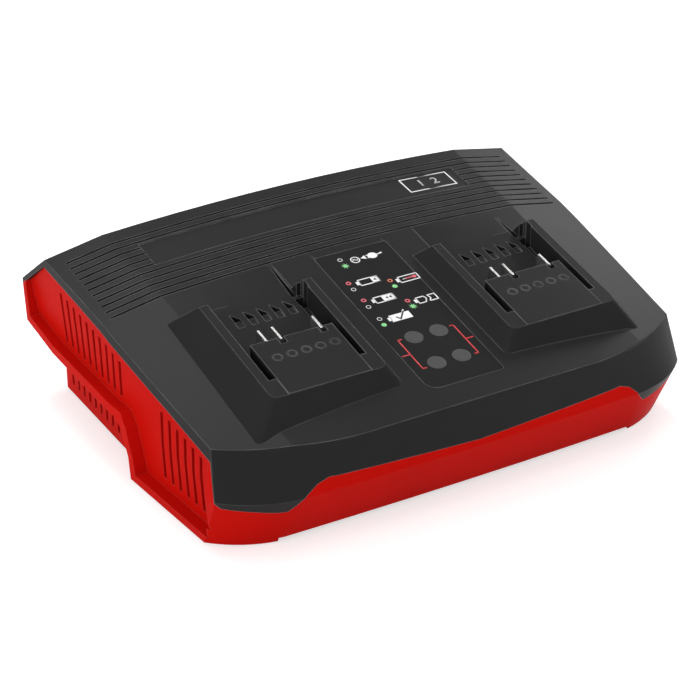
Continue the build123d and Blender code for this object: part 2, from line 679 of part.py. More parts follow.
def rim_height(y):
    """Height of the rim's underside at y."""
    return RIM_Z + RIM_RISE * max(0, y - RIM_RISE_Y)


def foot_profile(inset):
    """Side view of what is wide: the rim band and the front foot, drawn in by inset."""
    low = FLOOR_LIFT + RIM_BAND if inset else -5
    front = CORNER_SEAM_Y + 3.5 if inset else -FAR
    return [
        (FAR, rim_height(FAR) + inset),
        (RIM_RISE_Y, RIM_Z + inset),
        (FOOT_STEP_Y - inset, RIM_Z + inset),
        (FOOT_STEP_Y - 5 - inset, RIM_Z - 4 + inset * 0.6),
        (FOOT_REAR_Y - inset + 1, 12),
        (FOOT_REAR_Y - inset, low),
        (front, low),
    ]


def vent_cuts():
    """Slots in the side panels and the lower side walls."""
    cuts = []
    half = VENT_WIDTH / 2
    for s in (-1, 1):
        x0, x1 = sorted((s * (LOWER_HALF_WIDTH - 10), s * FAR))
        for i in range(UPPER_VENTS):
            y = UPPER_VENT_REAR_Y - i * UPPER_VENT_PITCH
            top = side_edge_height(y) - SEAM_BAND - UPPER_VENT_DROP
            cuts.append(block(x0, x1, y - half, y + half, RIM_Z + RIM_BAND + 3, top))
        for i in range(FRONT_VENTS):
            y = FRONT_VENT_REAR_Y - i * FRONT_VENT_PITCH
            top = side_edge_height(y) - SEAM_BAND - FRONT_VENT_DROP
            cuts.append(block(x0, x1, y - half, y + half, FRONT_VENT_FOOT_Z, top))
        for i in range(LOWER_VENTS):
            y = LOWER_VENT_REAR_Y - i * LOWER_VENT_PITCH
            cuts.append(block(x0, x1, y - half, y + half, LOWER_VENT_FOOT_Z, RIM_Z - 4))
    return cuts


def make_base(outer, inner, zone):
    """Red lower housing."""
    wide = outer & prism_x(foot_profile(0) + [(-FAR, FAR), (FAR, FAR)])
    low = block(-LOWER_HALF_WIDTH, LOWER_HALF_WIDTH, NOSE_REAR_Y - 10, LOWER_REAR_Y, 0, RIM_Z + 6)
    nose = outer & block(-LOWER_HALF_WIDTH, LOWER_HALF_WIDTH, -FAR, NOSE_REAR_Y, 0, RIM_Z + 6)
    body = (wide + low + nose) & block(-FAR, FAR, -FAR, FAR, FLOOR_LIFT, FAR)
    panel_rear = REAR_RIM_Y - PANEL_MARGIN
    recess_line = foot_profile(RIM_BAND)[1:] + [
        (CORNER_SEAM_Y + 1.0, CORNER_SEAM_Z), (CORNER_SEAM_Y + 4.0, FAR), (REAR_EDGE_Y - PANEL_MARGIN, FAR),
        (REAR_EDGE_Y - PANEL_MARGIN, SHOULDER_Z), (panel_rear, rim_height(panel_rear) + RIM_BAND)]
    body = body - (prism_x(recess_line) - shell(side_in=SIDE_RECESS, top_in=SIDE_RECESS_TOP))
    low_half = LOWER_HALF_WIDTH - SHELL_WALL
    low_inner = block(-low_half, low_half, -FAR, LOWER_REAR_Y - SHELL_WALL,
                      FLOOR_LIFT + FLOOR_WALL, RIM_Z + 6)
    high_inner = prism_x([(-FAR, RIM_Z + SHELL_WALL), (RIM_RISE_Y, RIM_Z + SHELL_WALL),
                          (FAR, rim_height(FAR) + SHELL_WALL), (FAR, FAR), (-FAR, FAR)])
    body = body - (inner & (low_inner + high_inner)) - zone
    body = body - block(-TOOTH_X, TOOTH_X, -FAR, FRONT_FOOT_Y + 8, -1, NOSE_LIFT)
    for x, y in screw_places():
        body = body + rod(x, y, FLOOR_LIFT + 1, BOSS_JOIN_Z, BOSS_RADIUS)
    for x, y in board_screw_places():
        body = body + rod(x, y, FLOOR_LIFT + 1, BOARD_Z, SMALL_BOSS_RADIUS)
    for x, y in fan_screw_places():
        body = body + rod(x, y, FLOOR_LIFT + 1, FLOOR_LIFT + FLOOR_WALL + FAN_STAND, SMALL_BOSS_RADIUS)
    body = body - vent_cuts()
    for x, y in screw_places():
        body = body - rod(x, y, -1, BOSS_JOIN_Z + 1, SCREW_RADIUS + 0.3)
        body = body - rod(x, y, -1, BOSS_HEAD_Z, SCREW_HEAD_RADIUS + 0.5)
    for x, y in board_screw_places():
        body = body - rod(x, y, BOARD_Z - 8, BOARD_Z + 1, SMALL_SCREW_RADIUS + SCREW_FIT)
    for x, y in fan_screw_places():
        body = body - rod(x, y, FLOOR_LIFT + 1.4, 20, SMALL_SCREW_RADIUS + SCREW_FIT)
    for x, y in foot_places():
        body = body - rod(x, y, -1, RUBBER_HEIGHT, RUBBER_RADIUS + SCREW_FIT)
    for s in (-1, 1):
        x = s * KEYHOLE_SPACING / 2
        body = body - rod(x, KEYHOLE_Y, -1, 6, KEYHOLE_HEAD)
        body = body - block(x - KEYHOLE_NECK, x + KEYHOLE_NECK, KEYHOLE_Y, KEYHOLE_Y + KEYHOLE_TRAVEL, -1, 6)
        body = body - rod(x, KEYHOLE_Y + KEYHOLE_TRAVEL, -1, 6, KEYHOLE_NECK)
    for i in range(-4, 5):
        y = FAN_Y + i * GRILLE_PITCH
        reach = math.sqrt(FAN_BORE ** 2 - (i * GRILLE_PITCH) ** 2) - 1
        body = body - block(FAN_X - reach, FAN_X + reach, y - 1.4, y + 1.4, -1, 6)
    inlet = Pos(INLET_X, LOWER_REAR_Y, INLET_Z) * Rot(90, 0, 0) * Cylinder(GLAND_RADIUS + GLAND_FIT, 16)
    return body - inlet


def board_screw_places():
    """The four main board screws."""
    ys = (BOARD_FRONT_Y + BOARD_SCREW_INSET, BOARD_REAR_Y - BOARD_SCREW_INSET)
    return [(s * (BOARD_HALF_X - BOARD_SCREW_INSET), y) for y in ys for s in (-1, 1)]


def fan_screw_places():
    """The four fan screws."""
    half = FAN_SIZE / 2 - 5
    return [(FAN_X + a * half, FAN_Y + b * half) for a in (-1, 1) for b in (-1, 1)]


def foot_places():
    """The four rubber feet."""
    return [(s * x, y) for x, y in PAD_PLACES for s in (-1, 1)]


def display_screw_places():
    """The display board's screws, on the label plane."""
    board_x, board_y, _ = DISPLAY_BOARD
    middle_y = sum(WINDOW_PLACES_Y) / 2
    return [(s * (board_x / 2 - 3), middle_y + t * (board_y / 2 - 3)) for s in (-1, 1) for t in (-1, 1)]


def holder_screw_places():
    """Two screws for each contact holder."""
    front, rear = holder_span()
    reach = HOLDER_HALF_WIDTH - 3
    return [(bay_middle(side) + s * reach, rear - 3.5) for side in (-1, 1) for s in (-1, 1)]


# ---------------------------------------------------------------- bay contacts
def blade_top(y):
    """Height of the blades' tops at y."""
    return bay_top(y) - BLADE_TOP_BELOW


def make_blades(side):
    """Upright contact blades of one bay."""
    middle = bay_middle(side)
    front = BLADE_REAR_Y - BLADE_LENGTH
    foot = SEAT_Z - BLADE_FOOT_DEPTH
    blades = []
    for place in BLADE_PLACES:
        line = [(front, foot), (BLADE_REAR_Y, foot), (BLADE_REAR_Y, blade_top(BLADE_REAR_Y) - BLADE_CHAMFER),
                (BLADE_REAR_Y - BLADE_CHAMFER, blade_top(BLADE_REAR_Y - BLADE_CHAMFER)),
                (front, blade_top(front))]
        blades.append(Pos(middle + place, 0, 0) * prism_x(line, BLADE_THICKNESS / 2))
    return Compound(blades)


def make_holder(side):
    """Moulded holder that carries the blades under the bay's floor."""
    middle = bay_middle(side)
    front, rear = holder_span()
    holder = block(middle - HOLDER_HALF_WIDTH, middle + HOLDER_HALF_WIDTH, front, rear,
                   SEAT_Z - HOLDER_HEIGHT, SEAT_Z)
    cuts = []
    for place in BLADE_PLACES:
        x = middle + place
        half = BLADE_THICKNESS / 2 + BLADE_FIT
        cuts.append(block(x - half, x + half,
                          BLADE_REAR_Y - BLADE_LENGTH - BLADE_FIT, BLADE_REAR_Y + BLADE_FIT,
                          SEAT_Z - BLADE_FOOT_DEPTH, SEAT_Z + 1))
    for x, y in holder_screw_places():
        cuts.append(rod(x, y, SEAT_Z - HOLDER_HEIGHT - 1, SEAT_Z + 1, SMALL_SCREW_RADIUS + 0.2))
    return holder - cuts


def make_leads():
    """Straight leads from the main board up to the blade holders."""
    front, rear = holder_span()
    low = BOARD_Z + BOARD_THICKNESS
    middle, high = (front + rear) / 2, SEAT_Z - HOLDER_HEIGHT
    return Compound([rod(bay_middle(side) + place, middle, low, high, LEAD_RADIUS)
                     for side in (-1, 1) for place in BLADE_PLACES])


# ---------------------------------------------------------------- label and display
def make_label():
    """Printed film in its recess, with a hole over each window."""
    sheet = extrude(label_face(LABEL_EDGE_GAP), LABEL_THICKNESS)
    sheet = on_label(0, LABEL_MIDDLE_Y, LABEL_DEPTH) * sheet
    holes = [on_label(x, y, 0) * Cylinder(WINDOW_RADIUS + WINDOW_FIT, 4) for x, y in window_places()]
    return sheet - holes


def window_places():
    """The four status windows."""
    return [(s * WINDOW_X, y) for y in WINDOW_PLACES_Y for s in (-1, 1)]


def make_windows():
    """Light pipes that end as round windows in the label."""
    top = LABEL_DEPTH - LABEL_THICKNESS
    middle = top + PIPE_LENGTH / 2
    pipe = Cylinder(WINDOW_RADIUS, PIPE_LENGTH)
    return Compound([on_label(x, y, middle) * pipe for x, y in window_places()])


def make_display_board():
    """Small board that carries the status lights, parallel to the label."""
    board_x, board_y, thick = DISPLAY_BOARD
    board = on_label(0, sum(WINDOW_PLACES_Y) / 2, DISPLAY_DEPTH + thick / 2) * Box(board_x, board_y, thick)
    holes = [on_label(x, y, DISPLAY_DEPTH) * Cylinder(SMALL_SCREW_RADIUS + 0.2, 8)
             for x, y in display_screw_places()]
    return board - holes


def make_lights():
    """One light under each window."""
    height = DISPLAY_DEPTH - (LABEL_DEPTH - LABEL_THICKNESS) - PIPE_LENGTH
    return Compound([on_label(x, y, DISPLAY_DEPTH - height / 2) * Cylinder(WINDOW_RADIUS - 1.6, height)
                     for x, y in window_places()])


def make_ribbon():
    """Flat cable between the display board and the main board."""
    below = (DISPLAY_DEPTH + DISPLAY_BOARD[2]) * math.sqrt(1 + FRONT_SLOPE ** 2)
    rear = RIBBON_Y + RIBBON_THICKNESS
    low = BOARD_Z + BOARD_THICKNESS
    line = [(RIBBON_Y, low), (rear, low), (rear, label_height(rear) - below),
            (RIBBON_Y, label_height(RIBBON_Y) - below)]
    return prism_x(line, RIBBON_HALF)


# ---------------------------------------------------------------- main board
def make_main_board():
    """Main board on its four bosses."""
    top = BOARD_Z + BOARD_THICKNESS
    board = block(-BOARD_HALF_X, BOARD_HALF_X, BOARD_FRONT_Y, BOARD_REAR_Y, BOARD_Z, top)
    radius = SMALL_SCREW_RADIUS + 0.2
    return board - [rod(x, y, BOARD_Z - 1, top + 1, radius) for x, y in board_screw_places()]


def stand(radius, height, places):
    """Round parts standing on the main board."""
    low = BOARD_Z + BOARD_THICKNESS
    return Compound([rod(x, y, low, low + height, radius) for x, y in places])


def make_core():
    """Ferrite core with a window on each side of its middle leg."""
    low = BOARD_Z + BOARD_THICKNESS
    half = CORE_WIDTH / 2
    core = block(-half, half, CORE_Y - CORE_DEPTH / 2, CORE_Y + CORE_DEPTH / 2, low, low + CORE_HEIGHT)
    yoke = (CORE_HEIGHT - CORE_WINDOW_HEIGHT) / 2
    windows = []
    for s in (-1, 1):
        x0, x1 = sorted((s * CORE_LEG / 2, s * (half - yoke)))
        windows.append(block(x0, x1, CORE_Y - CORE_DEPTH, CORE_Y + CORE_DEPTH, low + yoke,
                             low + CORE_HEIGHT - yoke))
    return core - windows


def make_winding():
    """Wound coil around the core's middle leg."""
    low = BOARD_Z + BOARD_THICKNESS + (CORE_HEIGHT - CORE_WINDOW_HEIGHT) / 2 + WINDING_GAP
    high = low + CORE_WINDOW_HEIGHT - 2 * WINDING_GAP
    inner_x, inner_y = CORE_LEG / 2 + WINDING_GAP, CORE_DEPTH / 2 + WINDING_GAP
    outer_x, outer_y = inner_x + WINDING_BUILD, inner_y + WINDING_BUILD
    coil = block(-outer_x, outer_x, CORE_Y - outer_y, CORE_Y + outer_y, low, high)
    coil = fillet(coil.edges().filter_by(Axis.Z), WINDING_BUILD)
    return coil - block(-inner_x, inner_x, CORE_Y - inner_y, CORE_Y + inner_y, low - 1, high + 1)


def sink_spans():
    """X spans of the two heat sinks."""
    return [sorted((s * SINK_NEAR_X, s * (SINK_NEAR_X + SINK_LENGTH))) for s in (-1, 1)]


def make_sinks():
    """Finned heat sinks along the front of the main board."""
    low = BOARD_Z + BOARD_THICKNESS
    sinks = []
    for x0, x1 in sink_spans():
        sink = block(x0, x1, SINK_Y, SINK_Y + SINK_PLATE, low, low + SINK_HEIGHT)
        fins = []
        for i in range(SINK_FINS):
            x = x0 + 1 + i * (SINK_LENGTH - 2) / (SINK_FINS - 1)
            fins.append(block(x - 0.6, x + 0.6, SINK_Y - SINK_FIN_LENGTH, SINK_Y + 1, low, low + SINK_HEIGHT))
        sinks.append(sink + fins)
    return Compound(sinks)


def make_transistors():
    """Power transistors clamped to the back of the heat sinks."""
    low = BOARD_Z + BOARD_THICKNESS
    rear = SINK_Y + SINK_PLATE
    return Compound([block(x0 + f * SINK_LENGTH - 5, x0 + f * SINK_LENGTH + 5, rear, rear + 4.5, low, low + 18)
                     for x0, _ in sink_spans() for f in (0.25, 0.75)])


def make_choke():
    """Ring choke standing flat on the main board."""
    x, y = CHOKE_PLACE
    low = BOARD_Z + BOARD_THICKNESS
    return rod(x, y, low, low + 9, CHOKE_RADIUS) - rod(x, y, low - 1, low + 10, CHOKE_RADIUS / 2)


def make_fuse():
    """Glass fuse lying on the main board."""
    x, y = FUSE_PLACE
    radius = 2.6
    return Pos(x, y, BOARD_Z + BOARD_THICKNESS + radius) * Rot(0, 90, 0) * Cylinder(radius, 20)


def make_rectifier():
    """Flat bridge rectifier standing on the main board."""
    x, y = bay_middle(-1) + RECTIFIER_INWARD, RECTIFIER_Y
    low = BOARD_Z + BOARD_THICKNESS
    return block(x - 10, x + 10, y - 2, y + 2, low, low + 15)


def make_terminal():
    """Two-way clamp block for the incoming supply."""
    x, y = TERMINAL_PLACE
    low = BOARD_Z + BOARD_THICKNESS
    clamp = block(x - 6, x + 6, y - 5, y + 5, low, low + 12)
    return clamp - [rod(x + s * 3, y, low + 6, low + 13, 1.7) for s in (-1, 1)]


# ---------------------------------------------------------------- fan
FAN_LOW = FLOOR_LIFT + FLOOR_WALL + FAN_STAND


def make_fan_frame():
    """Square frame with the spider and the bearing tube."""
    half = FAN_SIZE / 2
    frame = block(FAN_X - half, FAN_X + half, FAN_Y - half, FAN_Y + half, FAN_LOW, FAN_LOW + FAN_HEIGHT)
    frame = fillet(frame.edges().filter_by(Axis.Z), 4)
    frame = frame - rod(FAN_X, FAN_Y, FAN_LOW - 1, FAN_LOW + FAN_HEIGHT + 1, FAN_BORE)
    disc = rod(FAN_X, FAN_Y, FAN_LOW, FAN_LOW + FAN_SPIDER, ROTOR_HUB)
    arm = block(FAN_X - FAN_BORE - 1, FAN_X + FAN_BORE + 1, FAN_Y - 1.5, FAN_Y + 1.5,
                FAN_LOW, FAN_LOW + FAN_SPIDER)
    turn = Pos(FAN_X, FAN_Y, 0) * Rot(0, 0, 45) * Pos(-FAN_X, -FAN_Y, 0)
    back = Pos(FAN_X, FAN_Y, 0) * Rot(0, 0, -45) * Pos(-FAN_X, -FAN_Y, 0)
    tube = rod(FAN_X, FAN_Y, FAN_LOW, FAN_LOW + FAN_TUBE_HEIGHT, FAN_TUBE_RADIUS)
    frame = frame + [disc, turn * arm, back * arm, tube]
    holes = [rod(x, y, FAN_LOW - 1, FAN_LOW + FAN_HEIGHT + 1, SMALL_SCREW_RADIUS + 0.3)
             for x, y in fan_screw_places()]
    bearing = rod(FAN_X, FAN_Y, FAN_LOW + 0.8, FAN_LOW + FAN_HEIGHT, FAN_SHAFT_RADIUS + FAN_SHAFT_FIT)
    return frame - holes - bearing


def make_fan_stator():
    """Motor winding pressed on the bearing tube."""
    low = FAN_LOW + FAN_SPIDER
    high = FAN_LOW + FAN_TUBE_HEIGHT - 0.5
    bore = rod(FAN_X, FAN_Y, low - 1, high + 1, FAN_TUBE_RADIUS + 0.02)
    return rod(FAN_X, FAN_Y, low, high, STATOR_RADIUS) - bore


def make_fan_rotor():
    """Rotor cup with its blades and shaft."""
    low = FAN_LOW + FAN_SPIDER + FAN_GAP
    high = FAN_LOW + FAN_HEIGHT - FAN_GAP
    hollow = rod(FAN_X, FAN_Y, low - 1, high - ROTOR_CAP, ROTOR_HUB - 1.6)
    cup = rod(FAN_X, FAN_Y, low, high, ROTOR_HUB) - hollow
    shaft = rod(FAN_X, FAN_Y, FAN_LOW + 1.2, high, FAN_SHAFT_RADIUS)
    vanes = []
    for i in range(ROTOR_BLADES):
        reach = ROTOR_RADIUS - ROTOR_HUB + 0.8
        vane = Box(reach, 1.2, (high - low) * 1.12)
        vane = Rot(38, 0, 0) * vane
        vane = Pos(ROTOR_HUB - 0.8 + reach / 2, 0, (low + high) / 2) * vane
        vanes.append(Pos(FAN_X, FAN_Y, 0) * Rot(0, 0, i * 360 / ROTOR_BLADES) * vane)
    sweep_space = rod(FAN_X, FAN_Y, low, high, ROTOR_RADIUS)
    blades = [vane & sweep_space for vane in vanes]
    return (cup + blades) + shaft


# ---------------------------------------------------------------- inlet, screws and feet
def along_y(x, z, y0, y1, radius):
    """Cylinder along Y."""
    return Pos(x, (y0 + y1) / 2, z) * Rot(90, 0, 0) * Cylinder(radius, y1 - y0)


def make_gland():
    """Cable gland in the lower back wall."""
    inside = LOWER_REAR_Y - SHELL_WALL - GLAND_NUT_LENGTH - 1
    outside = LOWER_REAR_Y + GLAND_FLANGE_THICKNESS
    gland = along_y(INLET_X, INLET_Z, inside, LOWER_REAR_Y, GLAND_RADIUS)
    gland = gland + along_y(INLET_X, INLET_Z, LOWER_REAR_Y, outside, GLAND_FLANGE)
    return gland - along_y(INLET_X, INLET_Z, inside - 1, outside + 1, INLET_BORE)


def make_gland_nut():
    """Six-sided nut that holds the gland from inside."""
    rear = LOWER_REAR_Y - SHELL_WALL
    body = extrude(RegularPolygon(GLAND_FLANGE, 6), GLAND_NUT_LENGTH)
    nut = Pos(INLET_X, rear, INLET_Z) * Rot(90, 0, 0) * body
    return nut - along_y(INLET_X, INLET_Z, rear - GLAND_NUT_LENGTH - 1, rear + 1, GLAND_RADIUS + GLAND_FIT)


def cross_screw(radius, head_radius, head_height, length):
    """Pan head screw pointing down from z = 0, with a cross recess in its head."""
    screw = rod(0, 0, -length, 0, radius) + rod(0, 0, 0, head_height, head_radius)
    cross = Box(head_radius * 1.1, 0.7, head_height) + Box(0.7, head_radius * 1.1, head_height)
    return screw - Pos(0, 0, head_height) * cross


def make_cover_screws():
    """Long screws that pull the cover down onto the base, put in from below."""
    up = BOSS_JOIN_Z + 12 - BOSS_HEAD_Z
    screw = Rot(180, 0, 0) * cross_screw(SCREW_RADIUS, SCREW_HEAD_RADIUS, 3.0, up)
    return Compound([Pos(x, y, BOSS_HEAD_Z) * screw for x, y in screw_places()])


def small_screws(places, head_z, length):
    """Small pan head screws pointing down."""
    screw = cross_screw(SMALL_SCREW_RADIUS, SMALL_SCREW_RADIUS * 2, 1.6, length)
    return Compound([Pos(x, y, head_z) * screw for x, y in places])


def make_holder_screws():
    """Small screws that hold the contact holders, put in from below."""
    length = HOLDER_HEIGHT + HOLDER_SCREW_GRIP
    screw = Rot(180, 0, 0) * cross_screw(SMALL_SCREW_RADIUS, SMALL_SCREW_RADIUS * 2, 1.6, length)
    return Compound([Pos(x, y, SEAT_Z - HOLDER_HEIGHT) * screw for x, y in holder_screw_places()])


def make_display_screws():
    """Small screws that hold the display board, put in from below."""
    thick = DISPLAY_BOARD[2]
    screw = Rot(180, 0, 0) * cross_screw(SMALL_SCREW_RADIUS, SMALL_SCREW_RADIUS * 2, 1.6, thick + 4)
    return Compound([on_label(x, y, DISPLAY_DEPTH + thick) * screw for x, y in display_screw_places()])


def make_rubber_feet():
    """Round rubber feet in their recesses."""
    return Compound([rod(x, y, 0, RUBBER_HEIGHT, RUBBER_RADIUS) for x, y in foot_places()])


# ---------------------------------------------------------------- build
def build_parts():
    """Every node of the charger by name."""
    outer = shell() - back_recess(0)
    inner = shell(side_in=SIDE_RECESS + SHELL_WALL, top_in=SIDE_RECESS_TOP + SHELL_WALL, front_in=SHELL_WALL,
                  rear_in=SHELL_WALL, drop=SHELL_WALL)
    inner = inner - back_recess(SHELL_WALL)
    zone = cover_zone()
    board_top = BOARD_Z + BOARD_THICKNESS
    return {
        "top_cover": make_cover(outer, inner, zone),
        "base_housing": make_base(outer, inner, zone),
        "control_label": make_label(),
        "light_windows": make_windows(),
        "display_circuit_board": make_display_board(),
        "indicator_lights": make_lights(),
        "display_ribbon": make_ribbon(),
        "display_screws": make_display_screws(),
        "contact_blades_left": make_blades(-1),
        "contact_blades_right": make_blades(1),
        "contact_holder_left": make_holder(-1),
        "contact_holder_right": make_holder(1),
        "holder_screws": make_holder_screws(),
        "bay_leads": make_leads(),
        "main_circuit_board": make_main_board(),
        "board_screws": small_screws(board_screw_places(), board_top, BOARD_THICKNESS + 7),
        "transformer_core": make_core(),
        "transformer_winding": make_winding(),
        "bulk_capacitors": stand(BULK_RADIUS, BULK_HEIGHT, BULK_PLACES),
        "output_capacitors": stand(OUTPUT_RADIUS, OUTPUT_HEIGHT, OUTPUT_PLACES),
        "heat_sinks": make_sinks(),
        "power_transistors": make_transistors(),
        "input_choke": make_choke(),
        "mains_fuse": make_fuse(),
        "bridge_rectifier": make_rectifier(),
        "mains_terminal": make_terminal(),
        "fan_frame": make_fan_frame(),
        "fan_stator": make_fan_stator(),
        "fan_rotor": make_fan_rotor(),
        "fan_screws": small_screws(fan_screw_places(), FAN_LOW + FAN_HEIGHT, FAN_HEIGHT + 4.5),
        "cable_gland": make_gland(),
        "gland_nut": make_gland_nut(),
        "cover_screws": make_cover_screws(),
        "rubber_feet": make_rubber_feet(),
    }


for name, shape in build_parts().items():
    export_step(shape, f"parts/{name}.step")
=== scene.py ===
"""The looks of a two-bay battery charger: black ribbed cover, red vented base and a printed status label.

Everything is in metres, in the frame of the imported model: +Z up, -Y the front, the origin on the bench.
"""

import json
import logging
import math
from dataclasses import dataclass
from enum import Enum
from typing import Callable

import bmesh
import bpy
from mathutils import Euler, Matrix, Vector

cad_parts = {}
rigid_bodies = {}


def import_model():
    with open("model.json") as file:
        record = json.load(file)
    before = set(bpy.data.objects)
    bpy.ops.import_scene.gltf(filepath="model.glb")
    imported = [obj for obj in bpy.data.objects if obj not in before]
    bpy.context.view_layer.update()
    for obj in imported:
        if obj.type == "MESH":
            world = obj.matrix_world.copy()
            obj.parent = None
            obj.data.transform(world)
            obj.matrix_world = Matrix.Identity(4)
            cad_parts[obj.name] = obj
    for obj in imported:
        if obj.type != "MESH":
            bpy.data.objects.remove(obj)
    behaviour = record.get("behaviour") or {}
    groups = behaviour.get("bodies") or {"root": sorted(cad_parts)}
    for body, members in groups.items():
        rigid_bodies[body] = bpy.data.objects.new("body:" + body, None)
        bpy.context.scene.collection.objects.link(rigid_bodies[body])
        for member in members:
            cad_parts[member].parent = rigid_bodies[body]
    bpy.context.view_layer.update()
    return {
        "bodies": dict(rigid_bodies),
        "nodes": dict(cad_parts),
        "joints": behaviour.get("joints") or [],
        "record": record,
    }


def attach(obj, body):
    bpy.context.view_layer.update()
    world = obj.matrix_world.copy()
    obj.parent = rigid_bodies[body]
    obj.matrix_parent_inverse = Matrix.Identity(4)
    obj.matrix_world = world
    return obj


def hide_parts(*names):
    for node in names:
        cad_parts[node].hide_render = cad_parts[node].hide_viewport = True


LOG = logging.getLogger("charger")
MM = 0.001
BODY = "charger_body"
ROTOR_BODY = "rotor"

# The cover's roof, in millimetres: two slopes that meet in a fold, with a crease along each side
ROOF_FOLD_Y = 18.0
CREASE_Z = 72.1
CREASE_X = 93.6
CREASE_SPREAD = 0.045
CROWN = 3.3
FRONT_SLOPE = 0.184
REAR_SLOPE = 0.125


# ---------------------------------------------------------------- small helpers
def deselect_all() -> None:
    """Leave nothing selected, so that an operator acts on the new piece alone."""
    if bpy.context.object and bpy.context.object.mode != "OBJECT":
        bpy.ops.object.mode_set(mode="OBJECT")
    for item in bpy.context.view_layer.objects:
        item.select_set(False)


def make_active(item: bpy.types.Object) -> bpy.types.Object:
    """Select one object alone and make it active.

    Args:
        item: The object to work on.

    Returns:
        The same object.
    """
    deselect_all()
    item.select_set(True)
    bpy.context.view_layer.objects.active = item
    return item


def bake_place(item: bpy.types.Object) -> bpy.types.Object:
    """Move an object's place, turn and size into its mesh.

    Args:
        item: The object to settle.

    Returns:
        The same object, now at the origin, unturned and unscaled.
    """
    make_active(item)
    bpy.ops.object.transform_apply(location=True, rotation=True, scale=True)
    return item


def join_all(items: list[bpy.types.Object], name: str) -> bpy.types.Object:
    """Join several meshes into one piece.

    Args:
        items: The meshes to join; the first one takes the others in.
        name: The name of the joined piece.

    Returns:
        The joined object.
    """
    deselect_all()
    for item in items:
        item.select_set(True)
    bpy.context.view_layer.objects.active = items[0]
    if len(items) > 1:
        bpy.ops.object.join()
    joined = bpy.context.view_layer.objects.active
    joined.name = name
    joined.data.name = name
    return joined


def crease_x(y: float) -> float:
    """X of the roof's right crease at y, in millimetres."""
    return CREASE_X + CREASE_SPREAD * (y - ROOF_FOLD_Y)


def add_node(tree: bpy.types.NodeTree, kind: str, values: dict | None = None, **options: object) -> bpy.types.Node:
    """Add a node to a shader tree.

    Args:
        tree: The tree that it goes into.
        kind: Its type, as Blender names it.
        values: What its inputs hold, by their name or number.
        options: Its own settings, such as a maths node's operation.

    Returns:
        The new node.
    """
    node = tree.nodes.new(kind)
    for option, choice in options.items():
        setattr(node, option, choice)
    for socket, value in (values or {}).items():
        node.inputs[socket].default_value = value
    return node


# ---------------------------------------------------------------- shader groups
@dataclass(frozen=True)
class Socket:
    """One socket of a shader group, with the value it starts with."""

    name: str
    kind: str
    value: float | None = None


class ShaderGroup:
    """A shader group that is built once and then shared."""

    NAME: str
    INPUTS: tuple[Socket, ...]
    OUTPUTS: tuple[Socket, ...]

    @classmethod
    def get(cls) -> bpy.types.ShaderNodeTree:
        """Find the group, and build it the first time.

        Returns:
            The group's node tree.
        """
        tree = bpy.data.node_groups.get(cls.NAME)
        if tree is None:
            tree = bpy.data.node_groups.new(cls.NAME, "ShaderNodeTree")
            for way, sockets in (("INPUT", cls.INPUTS), ("OUTPUT", cls.OUTPUTS)):
                for socket in sockets:
                    made = tree.interface.new_socket(name=socket.name, in_out=way, socket_type=socket.kind)
                    if socket.value is not None:
                        made.default_value = socket.value
            cls.fill(tree)
        return tree

    @classmethod
    def fill(cls, tree: bpy.types.ShaderNodeTree) -> None:
        """Put the group's nodes into its empty tree."""
        raise NotImplementedError


